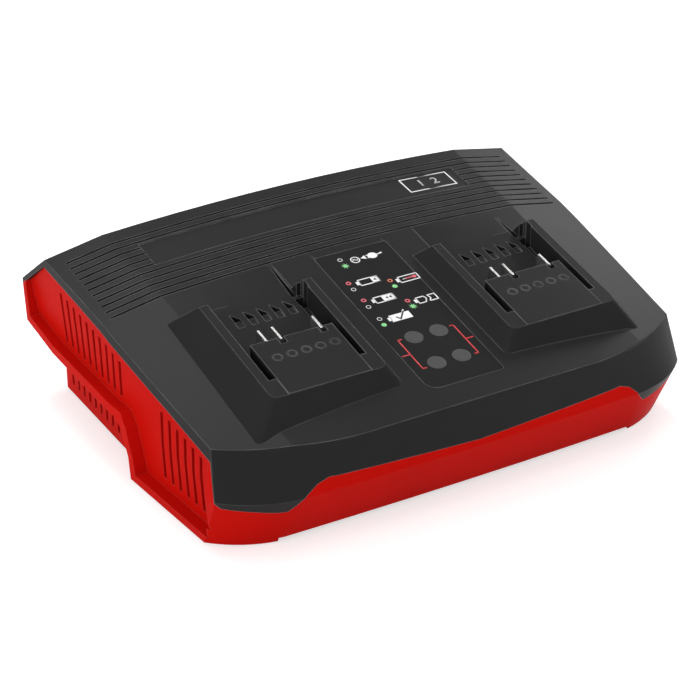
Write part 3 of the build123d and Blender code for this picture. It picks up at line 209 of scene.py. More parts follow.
class GrainGroup(ShaderGroup):
    """Shader group for moulded plastic: fine grain, slow colour drift and a bump height."""

    NAME = "moulded_grain"
    INPUTS = (
        Socket("Vector", "NodeSocketVector"), Socket("Colour", "NodeSocketColor"),
        Socket("Grain Scale", "NodeSocketFloat", 1400.0), Socket("Drift", "NodeSocketFloat", 0.06),
        Socket("Roughness", "NodeSocketFloat", 0.4), Socket("Roughness Drift", "NodeSocketFloat", 0.06))
    OUTPUTS = (
        Socket("Colour", "NodeSocketColor"), Socket("Roughness", "NodeSocketFloat"),
        Socket("Height", "NodeSocketFloat"))

    @classmethod
    def fill(cls, tree: bpy.types.ShaderNodeTree) -> None:
        """Scale the colour by a slow cloud, and the roughness by the fine grain.

        Args:
            tree: The group's empty tree.
        """
        links = tree.links
        inlet = add_node(tree, "NodeGroupInput")
        outlet = add_node(tree, "NodeGroupOutput")
        grain = add_node(tree, "ShaderNodeTexNoise", {"Detail": 3.0, "Roughness": 0.6})
        cloud = add_node(tree, "ShaderNodeTexNoise", {"Scale": 22.0, "Detail": 4.0})
        spread = add_node(tree, "ShaderNodeMapRange", {"From Min": 0.3, "From Max": 0.7})
        low = add_node(tree, "ShaderNodeMath", {0: 1.0}, operation="SUBTRACT")
        high = add_node(tree, "ShaderNodeMath", {0: 1.0}, operation="ADD")
        tint = add_node(tree, "ShaderNodeVectorMath", operation="SCALE")
        rough_low = add_node(tree, "ShaderNodeMath", operation="SUBTRACT")
        rough_high = add_node(tree, "ShaderNodeMath", operation="ADD")
        rough = add_node(tree, "ShaderNodeMapRange")
        links.new(inlet.outputs["Vector"], grain.inputs["Vector"])
        links.new(inlet.outputs["Grain Scale"], grain.inputs["Scale"])
        links.new(inlet.outputs["Vector"], cloud.inputs["Vector"])
        links.new(cloud.outputs["Fac"], spread.inputs["Value"])
        for edge, socket in ((low, "To Min"), (high, "To Max")):
            links.new(inlet.outputs["Drift"], edge.inputs[1])
            links.new(edge.outputs[0], spread.inputs[socket])
        links.new(inlet.outputs["Colour"], tint.inputs[0])
        links.new(spread.outputs["Result"], tint.inputs["Scale"])
        links.new(tint.outputs["Vector"], outlet.inputs["Colour"])
        links.new(grain.outputs["Fac"], rough.inputs["Value"])
        for edge, socket in ((rough_low, "To Min"), (rough_high, "To Max")):
            links.new(inlet.outputs["Roughness"], edge.inputs[0])
            links.new(inlet.outputs["Roughness Drift"], edge.inputs[1])
            links.new(edge.outputs[0], rough.inputs[socket])
        links.new(rough.outputs["Result"], outlet.inputs["Roughness"])
        links.new(grain.outputs["Fac"], outlet.inputs["Height"])


class EdgeGroup(ShaderGroup):
    """Shader group for moulded edges: a softened normal, and a mask of the edges that are painted lighter, partly
    wear and partly a painted highlight.
    """

    NAME = "moulded_edge"
    INPUTS = (
        Socket("Radius", "NodeSocketFloat", 0.0005), Socket("Wear", "NodeSocketFloat", 0.5),
        Socket("Vector", "NodeSocketVector"))
    OUTPUTS = (Socket("Normal", "NodeSocketVector"), Socket("Mask", "NodeSocketFloat"))

    @classmethod
    def fill(cls, tree: bpy.types.ShaderNodeTree) -> None:
        """Find the edges where the softened normal leaves the true one, and mask them in patches for painted edge
        highlights and wear.

        Args:
            tree: The group's empty tree.
        """
        links = tree.links
        inlet = add_node(tree, "NodeGroupInput")
        outlet = add_node(tree, "NodeGroupOutput")
        bevel = add_node(tree, "ShaderNodeBevel", samples=6)
        plain = add_node(tree, "ShaderNodeNewGeometry")
        facing = add_node(tree, "ShaderNodeVectorMath", operation="DOT_PRODUCT")
        mask = add_node(tree, "ShaderNodeMapRange", {"From Min": 0.995, "From Max": 0.80})
        patches = add_node(tree, "ShaderNodeTexNoise", {"Scale": 90.0, "Detail": 3.0})
        uneven = add_node(tree, "ShaderNodeMapRange", {"From Min": 0.35, "From Max": 0.6, "To Min": 0.55})
        # Edge mask times patches: it lightens the edges partly as wear and partly as a painted highlight along
        # every edge.
        worn_and_lit = add_node(tree, "ShaderNodeMath", operation="MULTIPLY")
        amount = add_node(tree, "ShaderNodeMath", operation="MULTIPLY")
        links.new(inlet.outputs["Radius"], bevel.inputs["Radius"])
        links.new(bevel.outputs["Normal"], facing.inputs[0])
        links.new(plain.outputs["Normal"], facing.inputs[1])
        links.new(facing.outputs["Value"], mask.inputs["Value"])
        links.new(inlet.outputs["Vector"], patches.inputs["Vector"])
        links.new(patches.outputs["Fac"], uneven.inputs["Value"])
        links.new(mask.outputs["Result"], worn_and_lit.inputs[0])
        links.new(uneven.outputs["Result"], worn_and_lit.inputs[1])
        links.new(worn_and_lit.outputs[0], amount.inputs[0])
        links.new(inlet.outputs["Wear"], amount.inputs[1])
        links.new(amount.outputs[0], outlet.inputs["Mask"])
        links.new(bevel.outputs["Normal"], outlet.inputs["Normal"])


# ---------------------------------------------------------------- finishes
@dataclass(frozen=True)
class Finish:
    """A finish that is the same grain and drift over a whole piece."""

    name: str
    colour: tuple[float, float, float]
    roughness: float = 0.4
    grain_scale: float = 1400.0
    grain_depth: float = 0.00002
    drift: float = 0.06
    rough_drift: float = 0.06
    metallic: float = 0.0
    specular: float = 0.5
    glow: float = 0.0
    edge_radius: float = 0.00035
    # The edge colour and its amount paint the edges lighter: partly wear, partly a painted highlight along every
    # edge.
    edge_wear: float = 0.35
    edge_wear_and_highlight_colour: tuple[float, float, float] = (0.14, 0.14, 0.14)

    def material(self) -> bpy.types.Material:
        """Find this finish's material, and build it the first time.

        Returns:
            The finish's material.
        """
        made = bpy.data.materials.get(self.name)
        if made:
            return made
        made = bpy.data.materials.new(self.name)
        made.use_nodes = True
        tree = made.node_tree
        links = tree.links
        shader = tree.nodes["Principled BSDF"]
        shader.inputs["Metallic"].default_value = self.metallic
        shader.inputs["Specular IOR Level"].default_value = self.specular
        place = add_node(tree, "ShaderNodeTexCoord")
        grain = add_node(tree, "ShaderNodeGroup", {
            "Colour": (*self.colour, 1.0), "Grain Scale": self.grain_scale, "Drift": self.drift,
            "Roughness": self.roughness, "Roughness Drift": self.rough_drift}, node_tree=GrainGroup.get())
        bump = add_node(tree, "ShaderNodeBump", {"Strength": 1.0, "Distance": self.grain_depth})
        edge = add_node(tree, "ShaderNodeGroup", {"Radius": self.edge_radius, "Wear": self.edge_wear},
                        node_tree=EdgeGroup.get())
        # Painted edge highlight mixed with wear: the edge mask tints the edges towards the lighter edge colour.
        tint = add_node(tree, "ShaderNodeMix", {"B": (*self.edge_wear_and_highlight_colour, 1.0)}, data_type="RGBA")
        links.new(place.outputs["Object"], edge.inputs["Vector"])
        links.new(place.outputs["Object"], grain.inputs["Vector"])
        links.new(edge.outputs["Mask"], tint.inputs["Factor"])
        links.new(grain.outputs["Colour"], tint.inputs["A"])
        links.new(tint.outputs["Result"], shader.inputs["Base Color"])
        links.new(edge.outputs["Normal"], bump.inputs["Normal"])
        links.new(grain.outputs["Roughness"], shader.inputs["Roughness"])
        links.new(grain.outputs["Height"], bump.inputs["Height"])
        links.new(bump.outputs["Normal"], shader.inputs["Normal"])
        if self.glow:
            shader.inputs["Emission Color"].default_value = (*self.colour, 1.0)
            shader.inputs["Emission Strength"].default_value = self.glow
        return made

    def dress(self, item: bpy.types.Object) -> bpy.types.Object:
        """Give one object this finish all over.

        Args:
            item: The object to dress.

        Returns:
            The same object.
        """
        item.data.materials.clear()
        item.data.materials.append(self.material())
        return item


# Each finish's lighter edge colour is partly wear and partly a painted edge highlight.
BLACK_PLASTIC = Finish("black_moulded_plastic", (0.0175, 0.0175, 0.0180), 0.40, 1500.0, 0.000016, 0.06, 0.05,
                       specular=0.05, edge_wear=0.85, edge_wear_and_highlight_colour=(0.22, 0.22, 0.22), edge_radius=0.0007)
RED_PLASTIC = Finish("red_moulded_plastic", (0.53, 0.0055, 0.0030), 0.42, 1500.0, 0.000008, 0.04, 0.04,
                     specular=0.01, edge_wear=0.6, edge_wear_and_highlight_colour=(0.75, 0.075, 0.06), edge_radius=0.0005)
LABEL_FILM = Finish("printed_label_film", (0.0165, 0.0165, 0.0170), 0.5, 2600.0, 0.000006, 0.04, 0.04,
                    specular=0.02, edge_wear=0.2)
WINDOW = Finish("smoked_status_window", (0.066, 0.066, 0.066), 0.36, 2200.0, 0.000004, 0.04, 0.03, specular=0.1,
                edge_wear=0.5, edge_wear_and_highlight_colour=(0.22, 0.22, 0.22))
BRIGHT_METAL = Finish("plated_contact_metal", (0.80, 0.79, 0.77), 0.30, 900.0, 0.000006, 0.05, 0.08, 1.0,
                      edge_wear=0.4, edge_wear_and_highlight_colour=(0.92, 0.91, 0.9), edge_radius=0.0002)
ZINC = Finish("zinc_plated_steel", (0.62, 0.62, 0.60), 0.34, 900.0, 0.000008, 0.08, 0.08, 1.0,
              edge_wear_and_highlight_colour=(0.8, 0.8, 0.78))
ALUMINIUM = Finish("bare_aluminium", (0.78, 0.78, 0.79), 0.38, 700.0, 0.000008, 0.06, 0.08, 1.0,
                   edge_wear_and_highlight_colour=(0.9, 0.9, 0.9))
BOARD_GREEN = Finish("solder_masked_board", (0.02, 0.15, 0.055), 0.36, 700.0, 0.000012, 0.14, 0.06)
NYLON = Finish("black_glass_filled_nylon", (0.03, 0.03, 0.03), 0.55, 1100.0, 0.00002, 0.1, 0.06)
FERRITE = Finish("sintered_ferrite", (0.07, 0.07, 0.075), 0.6, 1200.0, 0.00003, 0.12, 0.08)
TAPE = Finish("yellow_winding_tape", (0.78, 0.58, 0.09), 0.42, 500.0, 0.00002, 0.1, 0.06)
SLEEVE = Finish("dark_shrink_sleeve", (0.02, 0.03, 0.075), 0.28, 800.0, 0.000006, 0.08, 0.04)
EPOXY = Finish("moulded_epoxy", (0.035, 0.035, 0.035), 0.5, 1500.0, 0.00002, 0.08, 0.06)
CERAMIC = Finish("ceramic_tube", (0.74, 0.71, 0.66), 0.3, 900.0, 0.000006, 0.05, 0.05)
TERMINAL_GREEN = Finish("moulded_terminal_green", (0.045, 0.30, 0.12), 0.42, 1200.0, 0.00001, 0.06, 0.05)
RIBBON_GREY = Finish("grey_ribbon_cable", (0.42, 0.42, 0.40), 0.45, 1200.0, 0.00001, 0.06, 0.05)
LEAD_RED = Finish("red_wire_insulation", (0.5, 0.03, 0.025), 0.4, 1200.0, 0.000006, 0.05, 0.05)
CLEAR_LIGHT = Finish("clear_moulded_light", (0.8, 0.8, 0.76), 0.2, 900.0, 0.000004, 0.03, 0.03, glow=0.15)
FOOT_RUBBER = Finish("soft_foot_rubber", (0.028, 0.028, 0.028), 0.75, 900.0, 0.00003, 0.1, 0.06)


# ---------------------------------------------------------------- moulded pieces
@dataclass
class MouldedPiece:
    """A welded copy of a node, with its rounds shaded smooth and its folds kept crisp."""

    node: str
    name: str
    finish: Finish
    slot: str
    body: str = BODY
    sharp_angle: float = math.radians(14)
    fold_angle: float = math.radians(2.0)
    wide_face: float = 400 * MM * MM
    weld: float = 0.004 * MM
    sliver: float = 0.02 * MM
    crease_reach: float = 0.08 * MM
    roof_above: float = 45 * MM
    bumps: tuple[tuple[float, float, float, float], ...] = ()

    def weld_copy(self, source: bpy.types.Object) -> bpy.types.Object:
        """Copy the node's loose triangles and merge them into closed solids.

        Args:
            source: The plain node to copy.

        Returns:
            The copy, which the node's own mesh doesn't share.
        """
        copy = bpy.data.objects.new(self.name, source.data.copy())
        bpy.context.scene.collection.objects.link(copy)
        make_active(copy)
        bpy.ops.object.mode_set(mode="EDIT")
        bpy.ops.mesh.select_all(action="SELECT")
        bpy.ops.mesh.remove_doubles(threshold=self.weld)
        bpy.ops.mesh.dissolve_degenerate(threshold=self.sliver)
        bpy.ops.object.mode_set(mode="OBJECT")
        return copy

    def flatten_bumps(self, piece: bpy.types.Object) -> None:
        """Take off each small bump and close the wall there.

        Args:
            piece: The welded piece; its bumps are given by their middles and reaches in millimetres.
        """
        mesh = bmesh.new()
        mesh.from_mesh(piece.data)
        for x, y, z, reach in self.bumps:
            middle = Vector((x, y, z)) * MM
            faces = [face for face in mesh.faces
                     if all((corner.co - middle).length < reach * MM for corner in face.verts)]
            LOG.info("%s: bump of %d faces", self.name, len(faces))
            bmesh.ops.delete(mesh, geom=faces, context="FACES")
        rims = [edge for edge in mesh.edges if len(edge.link_faces) == 1]
        bmesh.ops.holes_fill(mesh, edges=rims, sides=0)
        mesh.to_mesh(piece.data)
        mesh.free()

    def on_crease(self, point: Vector) -> bool:
        """Whether a point lies on one of the roof's two side creases."""
        place = crease_x(point.y / MM) * MM
        return abs(abs(point.x) - place) < self.crease_reach and point.z > self.roof_above

    def mark_folds(self, piece: bpy.types.Object) -> None:
        """Shade the piece smooth, apart from its corners and the folds between wide faces.

        Args:
            piece: The welded piece.
        """
        mesh = bmesh.new()
        mesh.from_mesh(piece.data)
        for face in mesh.faces:
            face.smooth = True
        for edge in mesh.edges:
            if len(edge.link_faces) != 2:
                edge.smooth = False
                continue
            angle = edge.calc_face_angle(0.0)
            wide = min(face.calc_area() for face in edge.link_faces) > self.wide_face
            crease = all(self.on_crease(corner.co) for corner in edge.verts)
            edge.smooth = not (angle > self.sharp_angle or (angle > self.fold_angle and (wide or crease)))
        mesh.to_mesh(piece.data)
        mesh.free()
        make_active(piece)
        weighted = piece.modifiers.new("face weights", "WEIGHTED_NORMAL")
        weighted.keep_sharp = True
        weighted.weight = 100
        bpy.ops.object.modifier_apply(modifier=weighted.name)

    def build(self, frame: dict) -> bpy.types.Object:
        """Make the piece in place of its plain node.


        Returns:
            The finished object.
        """
        piece = self.weld_copy(frame["nodes"][self.node])
        if self.bumps:
            self.flatten_bumps(piece)
        self.mark_folds(piece)
        self.finish.dress(piece)
        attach(piece, self.body)
        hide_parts(self.node)
        LOG.info("%s: %d faces", self.name, len(piece.data.polygons))
        return piece


# ---------------------------------------------------------------- prints
def ink_finish(colour_name: str, colour: tuple[float, float, float]) -> Finish:
    """A flat printed ink."""
    return Finish(f"{colour_name}_label_ink", colour, 0.5, 2600.0, 0.000004, 0.03, 0.04, edge_wear=0.0)


class Ink(Enum):
    """The inks of the label and the name plate."""

    WHITE = ink_finish("white", (0.82, 0.82, 0.82))
    BLACK = ink_finish("black", (0.018, 0.018, 0.018))
    RED = ink_finish("red", (0.60, 0.020, 0.022))
    PINK = ink_finish("light_red", (0.72, 0.12, 0.15))
    ORANGE = ink_finish("orange", (0.72, 0.16, 0.07))
    GREEN = ink_finish("green", (0.22, 0.62, 0.24))


class Charge(Enum):
    """What a battery picture shows."""

    EMPTY = "empty"
    HALF = "half"
    FULL = "full"
    HOT = "hot"
    BROKEN = "broken"


class InkPad:
    """Flat marks drawn in plan, in millimetres, and then laid on a surface, one mesh for each ink."""

    THICKNESS = 0.03
    DISC_CORNERS = 20
    STAR_CORNERS = 16
    STAR_WAIST = 0.42
    LETTER_WEIGHT = 0.12

    def __init__(self, name: str) -> None:
        """Start with no marks."""
        self.name = name
        self.marks: dict[Ink, list[bpy.types.Object]] = {}

    def finish_mark(self, ink: Ink, lift: float = 0.0) -> None:
        """Give the active flat mark its thickness, and keep it.

        Args:
            ink: Its ink.
            lift: How far it lies above the surface.
        """
        mark = bpy.context.view_layer.objects.active
        wall = mark.modifiers.new("ink", "SOLIDIFY")
        wall.thickness = self.THICKNESS * MM
        wall.offset = 0.0
        bpy.ops.object.modifier_apply(modifier=wall.name)
        mark.location.z = lift * MM
        bake_place(mark)
        bpy.ops.object.mode_set(mode="EDIT")
        bpy.ops.mesh.select_all(action="SELECT")
        bpy.ops.mesh.normals_make_consistent(inside=False)
        bpy.ops.object.mode_set(mode="OBJECT")
        self.marks.setdefault(ink, []).append(mark)

    def shape(self, ink: Ink, points: list[tuple[float, float]], lift: float = 0.0) -> None:
        """Fill an outline.

        Args:
            ink: Its ink.
            points: Its corners in order.
            lift: How far it lies above the surface.
        """
        deselect_all()
        bpy.ops.mesh.primitive_circle_add(vertices=len(points), radius=MM, fill_type="NGON")
        mark = bpy.context.view_layer.objects.active
        for corner, (x, y) in zip(mark.data.vertices, points):
            corner.co = (x * MM, y * MM, 0.0)
        self.finish_mark(ink, lift)

    def disc(self, ink: Ink, x: float, y: float, radius: float, lift: float = 0.0) -> None:
        """Fill a circle.

        Args:
            ink: Its ink.
            x: Its middle, across.
            y: Its middle, from front to back.
            radius: Its radius.
            lift: How far it lies above the surface.
        """
        deselect_all()
        bpy.ops.mesh.primitive_circle_add(vertices=self.DISC_CORNERS, radius=radius * MM, fill_type="NGON",
                                          location=(x * MM, y * MM, 0))
        self.finish_mark(ink, lift)

    def ring(self, ink: Ink, x: float, y: float, radius: float, width: float) -> None:
        """Draw a circle's outline.

        Args:
            ink: Its ink.
            x: Its middle, across.
            y: Its middle, from front to back.
            radius: Its outer radius.
            width: The line's width.
        """
        deselect_all()
        bpy.ops.mesh.primitive_circle_add(vertices=self.DISC_CORNERS, radius=radius * MM, fill_type="NGON",
                                          location=(x * MM, y * MM, 0))
        bpy.ops.object.mode_set(mode="EDIT")
        bpy.ops.mesh.select_all(action="SELECT")
        bpy.ops.mesh.inset(thickness=width * MM)
        bpy.ops.mesh.delete(type="FACE")
        bpy.ops.object.mode_set(mode="OBJECT")
        self.finish_mark(ink)

    def bar(self, ink: Ink, start: tuple[float, float], end: tuple[float, float], width: float,
            lift: float = 0.0, steps: int = 1) -> None:
        """Draw a straight line as one closed strip.

        Args:
            ink: Its ink.
            start: Its first end.
            end: Its other end.
            width: Its width.
            lift: How far it lies above the surface.
            steps: How many lengths it is cut into, so that it can follow a curved surface.
        """
        (x0, y0), (x1, y1) = start, end
        length = math.hypot(x1 - x0, y1 - y0)
        ax, ay = (x1 - x0) / length * width / 2, (y1 - y0) / length * width / 2
        middle = [(x0 + (x1 - x0) * i / steps, y0 + (y1 - y0) * i / steps) for i in range(steps + 1)]
        left = [(x - ay, y + ax) for x, y in middle]
        right = [(x + ay, y - ax) for x, y in middle]
        self.shape(ink, right + left[::-1], lift)

    def line(self, ink: Ink, points: list[tuple[float, float]], width: float, lift: float = 0.0) -> None:
        """Draw a line through several points, with round joints.

        Args:
            ink: Its ink.
            points: Its points in order.
            width: Its width.
            lift: How far it lies above the surface.
        """
        for start, end in zip(points, points[1:]):
            self.bar(ink, start, end, width, lift)
        for x, y in points[1:-1]:
            self.disc(ink, x, y, width / 2, lift)

    def star(self, ink: Ink, x: float, y: float, radius: float) -> None:
        """Draw a light that flashes: a dot with eight rays.

        Args:
            ink: Its ink.
            x: Its middle, across.
            y: Its middle, from front to back.
            radius: The reach of its rays.
        """
        points = []
        for i in range(self.STAR_CORNERS):
            reach = radius if i % 2 == 0 else radius * self.STAR_WAIST
            angle = i * math.pi / (self.STAR_CORNERS / 2)
            points.append((x + reach * math.cos(angle), y + reach * math.sin(angle)))
        self.shape(ink, points)

    def letters(self, ink: Ink, text: str, x: float, y: float, size: float) -> None:
        """Set plain digits, centred on a point.

        Args:
            ink: Their ink.
            text: The digits.
            x: Their middle, across.
            y: Their middle, from front to back.
            size: Their height, as type is measured.
        """
        deselect_all()
        bpy.ops.object.text_add(location=(x * MM, y * MM, 0))
        words = bpy.context.view_layer.objects.active
        words.data.body = text
        words.data.size = size * MM
        words.data.align_x = "CENTER"
        words.data.align_y = "CENTER"
        words.data.offset = self.LETTER_WEIGHT * MM
        bpy.ops.object.convert(target="MESH")
        self.finish_mark(ink)

    def lay(self, height: Callable[[float, float], float]) -> list[bpy.types.Object]:
        """Join the marks of each ink and lay them on the surface.

        Args:
            height: Gives the surface's height in millimetres at a place in plan.

        Returns:
            One object for each ink.
        """
        pieces = []
        for ink, marks in self.marks.items():
            piece = join_all(marks, f"{self.name}_{ink.name.lower()}")
            for corner in piece.data.vertices:
                corner.co.z += height(corner.co.x / MM, corner.co.y / MM) * MM
            ink.value.dress(piece)
            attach(piece, BODY)
            LOG.info("%s: %d marks", piece.name, len(marks))
            pieces.append(piece)
        return pieces


@dataclass
class StatusLabelPrint:
    """The pictures and brackets on the status label."""

    film_below: float = 0.1
    shift: float = 1.1
    battery: tuple[float, float] = (11.7, 4.7)
    line_width: float = 0.62
    bracket_x: float = 14.3
    bracket_span: tuple[float, float] = (-75.4, -54.5)
    bracket_hook: float = 2.0
    edge_x: float = 18.4
    nub: float = 1.3
    nub_share: float = 0.26
    tick_width: float = 0.8
    spark_width: float = 0.7
    stem_width: float = 0.45
    bulb_radius: float = 1.05
    prong_width: float = 0.5
    cord_width: float = 0.9
    light_width: float = 0.34
    light_radius: float = 1.2
    dot_radius: float = 1.25
    star_radius: float = 2.1
    batteries: tuple[tuple[float, float, Charge], ...] = (
        (-11.5, -12.0, Charge.EMPTY), (6.6, -17.0, Charge.HOT), (-11.6, -26.0, Charge.HALF),
        (6.2, -33.4, Charge.BROKEN), (-11.7, -40.2, Charge.FULL))

    def surface(self, x: float, y: float) -> float:
        """Height of the film at a place."""
        return CREASE_Z + CROWN - FRONT_SLOPE * (ROOF_FOLD_Y - y) - self.film_below

    def draw_battery(self, pad: InkPad, x: float, y: float, charge: Charge) -> None:
        """Draw one battery lying on its side, with its terminal to the left.

        Args:
            pad: The ink pad to draw with.
            x: Its left end.
            y: Its middle.
            charge: What it shows.
        """
        long, tall = self.battery
        w = self.line_width
        x0, x1, y0, y1 = x + self.nub, x + long, y - tall / 2, y + tall / 2
        left, right, low, high = x0 + w / 2, x1 - w / 2, y0 + w / 2, y1 - w / 2
        top = 2 * pad.THICKNESS
        rise = tall * self.nub_share
        pad.shape(Ink.WHITE, [(x, y - rise), (x0 + w, y - rise), (x0 + w, y + rise), (x, y + rise)])
        if charge is Charge.FULL:
            pad.shape(Ink.WHITE, [(x0, y0), (x1, y0), (x1, y1), (x0, y1)])
            tick = [(x + 4.3, y + 0.5), (x + 5.7, y - 1.6), (x + 9.4, y + 2.9)]
            pad.line(Ink.BLACK, tick, self.tick_width, top)
            pad.bar(Ink.WHITE, (x + 8.6, y + 2.2), (x + 10.0, y + 4.0), self.spark_width)
            return
        if charge is Charge.BROKEN:
            middle = (x0 + x1) / 2
            pad.line(Ink.WHITE, [(middle - 0.9, high), (left, high), (left, low), (middle - 1.5, low),
                                 (middle - 0.2, y + 0.3), (middle - 0.9, high)], w)
            pad.line(Ink.WHITE, [(middle + 0.6, low), (right, low), (right, high), (middle + 1.2, high),
                                 (middle + 1.9, y - 0.1), (middle + 0.6, low)], w)
            return
        pad.line(Ink.WHITE, [(left, low), (right, low), (right, high), (left, high), (left, low)], w)
        if charge is Charge.HOT:
            pad.bar(Ink.WHITE, (x0 + 2.0, y), (x1 - 5.0, y), self.stem_width)
            pad.bar(Ink.PINK, (x0 + 3.6, y), (x1 - 2.6, y), self.spark_width, top)
            pad.disc(Ink.PINK, x1 - 2.3, y, self.bulb_radius, top)
            return
        fill = {Charge.EMPTY: x0 + 6.6, Charge.HALF: x0 + 4.2}[charge]
        pad.shape(Ink.WHITE, [(fill, y0), (x1, y0), (x1, y1), (fill, y1)])
        tip = x1 - 3.0
        pad.shape(Ink.BLACK, [(tip, y), (tip + 1.5, y - 1.0), (tip + 1.5, y + 1.0)], top)
        if charge is Charge.HALF:
            pad.shape(Ink.BLACK, [(tip - 1.8, y), (tip - 0.4, y - 0.9), (tip - 0.4, y + 0.9)], top)

    def draw_plug(self, pad: InkPad) -> None:
        """Draw the mains wave, an arrow and a plug with a short cord.

        Args:
            pad: The ink pad to draw with.
        """
        x, middle = self.shift, 4.1
        pad.ring(Ink.WHITE, x - 2.8, 4.0, 2.35, 0.55)
        wave = [(x - 4.1, 3.6), (x - 3.6, 4.6), (x - 3.1, 4.5), (x - 2.5, 3.4), (x - 2.0, 3.4), (x - 1.5, 4.4)]
        pad.line(Ink.WHITE, wave, self.prong_width)
        pad.shape(Ink.WHITE, [(x, middle), (x + 2.7, 2.7), (x + 2.7, 5.5)])
        turns = [i * math.pi / 8 for i in range(16)]
        body = [(min(x + 6.4 + 2.6 * math.cos(turn), x + 8.6), middle + 2.1 * math.sin(turn)) for turn in turns]
        pad.shape(Ink.WHITE, body)
        for dy in (-1.0, 1.0):
            pad.bar(Ink.WHITE, (x + 3.4, middle + dy), (x + 4.8, middle + dy), self.prong_width)
        pad.line(Ink.WHITE, [(x + 8.4, middle), (x + 9.6, 4.2), (x + 11.6, 4.6)], self.cord_width)

    def draw_lights(self, pad: InkPad) -> None:
        """Draw the small lights that go with each picture.

        Args:
            pad: The ink pad to draw with.
        """
        x = self.shift
        for lx, ly in ((-9.4, 6.5), (-14.8, -15.1), (-15.1, -28.8), (-15.0, -38.2)):
            pad.ring(Ink.WHITE, x + lx, ly, self.light_radius, self.light_width)
        for lx, ly in ((-14.7, -10.3), (-14.7, -23.8), (3.6, -31.6)):
            pad.ring(Ink.PINK, x + lx, ly, self.dot_radius, 0.6)
        pad.ring(Ink.ORANGE, x + 4.0, -15.7, self.light_radius, 0.55)
        for lx, ly in ((3.9, -20.1), (-15.3, -42.6)):
            pad.disc(Ink.GREEN, x + lx, ly, self.dot_radius)
        for lx, ly in ((-9.3, 1.6), (3.8, -36.0)):
            pad.star(Ink.GREEN, x + lx, ly, self.star_radius)

    def draw_brackets(self, pad: InkPad) -> None:
        """Draw the red bracket on each side of the windows.

        Args:
            pad: The ink pad to draw with.
        """
        low, high = self.bracket_span
        for side in (-1, 1):
            x = side * self.bracket_x
            hook = x - side * self.bracket_hook
            pad.line(Ink.RED, [(hook, high), (x, high), (x, low), (hook, low)], self.line_width)
            middle = (low + high) / 2
            pad.bar(Ink.RED, (x, middle), (side * self.edge_x, middle), self.line_width)

    def build(self) -> list[bpy.types.Object]:
        """Make the label's print.

        Returns:
            One object for each ink.
        """
        pad = InkPad("label_print")
        self.draw_plug(pad)
        self.draw_lights(pad)
        for x, y, charge in self.batteries:
            self.draw_battery(pad, x + self.shift, y, charge)
        self.draw_brackets(pad)
        return pad.lay(self.surface)


@dataclass
class PlateFrame:
    """The thin frame with plain numbers on the name plate."""

    span_x: tuple[float, float] = (54.0, 80.0)
    span_y: tuple[float, float] = (45.4, 57.0)
    line_width: float = 0.7
    plate_depth: float = 0.7
    curve_steps: int = 10
    digit_inset: float = 9.0
    digit_size: float = 7.5

    def surface(self, x: float, y: float) -> float:
        """Height of the name plate at a place."""
        arch = CROWN * (1 - (x / crease_x(y)) ** 2)
        return CREASE_Z + REAR_SLOPE * (y - ROOF_FOLD_Y) + arch - self.plate_depth

    def build(self) -> list[bpy.types.Object]:
        """Make the frame and its numbers.

        Returns:
            One object for each ink.
        """
        pad = InkPad("plate_print")
        (x0, x1), (y0, y1) = self.span_x, self.span_y
        half = self.line_width / 2
        for y in (y0, y1):
            pad.bar(Ink.WHITE, (x0 - half, y), (x1 + half, y), self.line_width, steps=self.curve_steps)
        for x in (x0, x1):
            pad.bar(Ink.WHITE, (x, y0 + half), (x, y1 - half), self.line_width)
        for digit, x in (("1", x0 + self.digit_inset), ("2", x1 - self.digit_inset)):
            pad.letters(Ink.WHITE, digit, x, (y0 + y1) / 2, self.digit_size)
        return pad.lay(self.surface)


# ---------------------------------------------------------------- studio
@dataclass(frozen=True)
class Softbox:
    """A flat lamp that points at the charger: its place and size in metres, and its power in watts."""

    name: str
    place: tuple[float, float, float]
    size: tuple[float, float]
    power: float

    def hang(self, target: Vector) -> None:
        """Hang the lamp and point it at the target.

        Args:
            target: The point that it lights.
        """
        data = bpy.data.lights.new(self.name, "AREA")
        data.shape = "RECTANGLE"
        data.size, data.size_y = self.size
        data.energy = self.power
        lamp = bpy.data.objects.new(self.name, data)
        lamp.location = self.place
        lamp.rotation_euler = (target - Vector(self.place)).to_track_quat("-Z", "Y").to_euler()
        bpy.context.scene.collection.objects.link(lamp)


SOFTBOXES = (
    Softbox("overhead softbox", (-0.15, 0.0, 1.6), (1.1, 1.1), 9),
    Softbox("left softbox", (-1.6, -0.3, 0.7), (0.9, 0.9), 8.5),
    Softbox("front softbox", (0.3, -1.9, 0.9), (1.2, 0.8), 1.5),
    Softbox("left facet softbox", (0.06, 0.78, 1.31), (0.36, 0.36), 9.0),
    Softbox("right facet softbox", (1.17, 0.82, 0.72), (0.36, 0.36), 4.6),
    Softbox("ramp softbox", (0.66, -0.71, 1.13), (0.36, 0.36), 2.0),
)


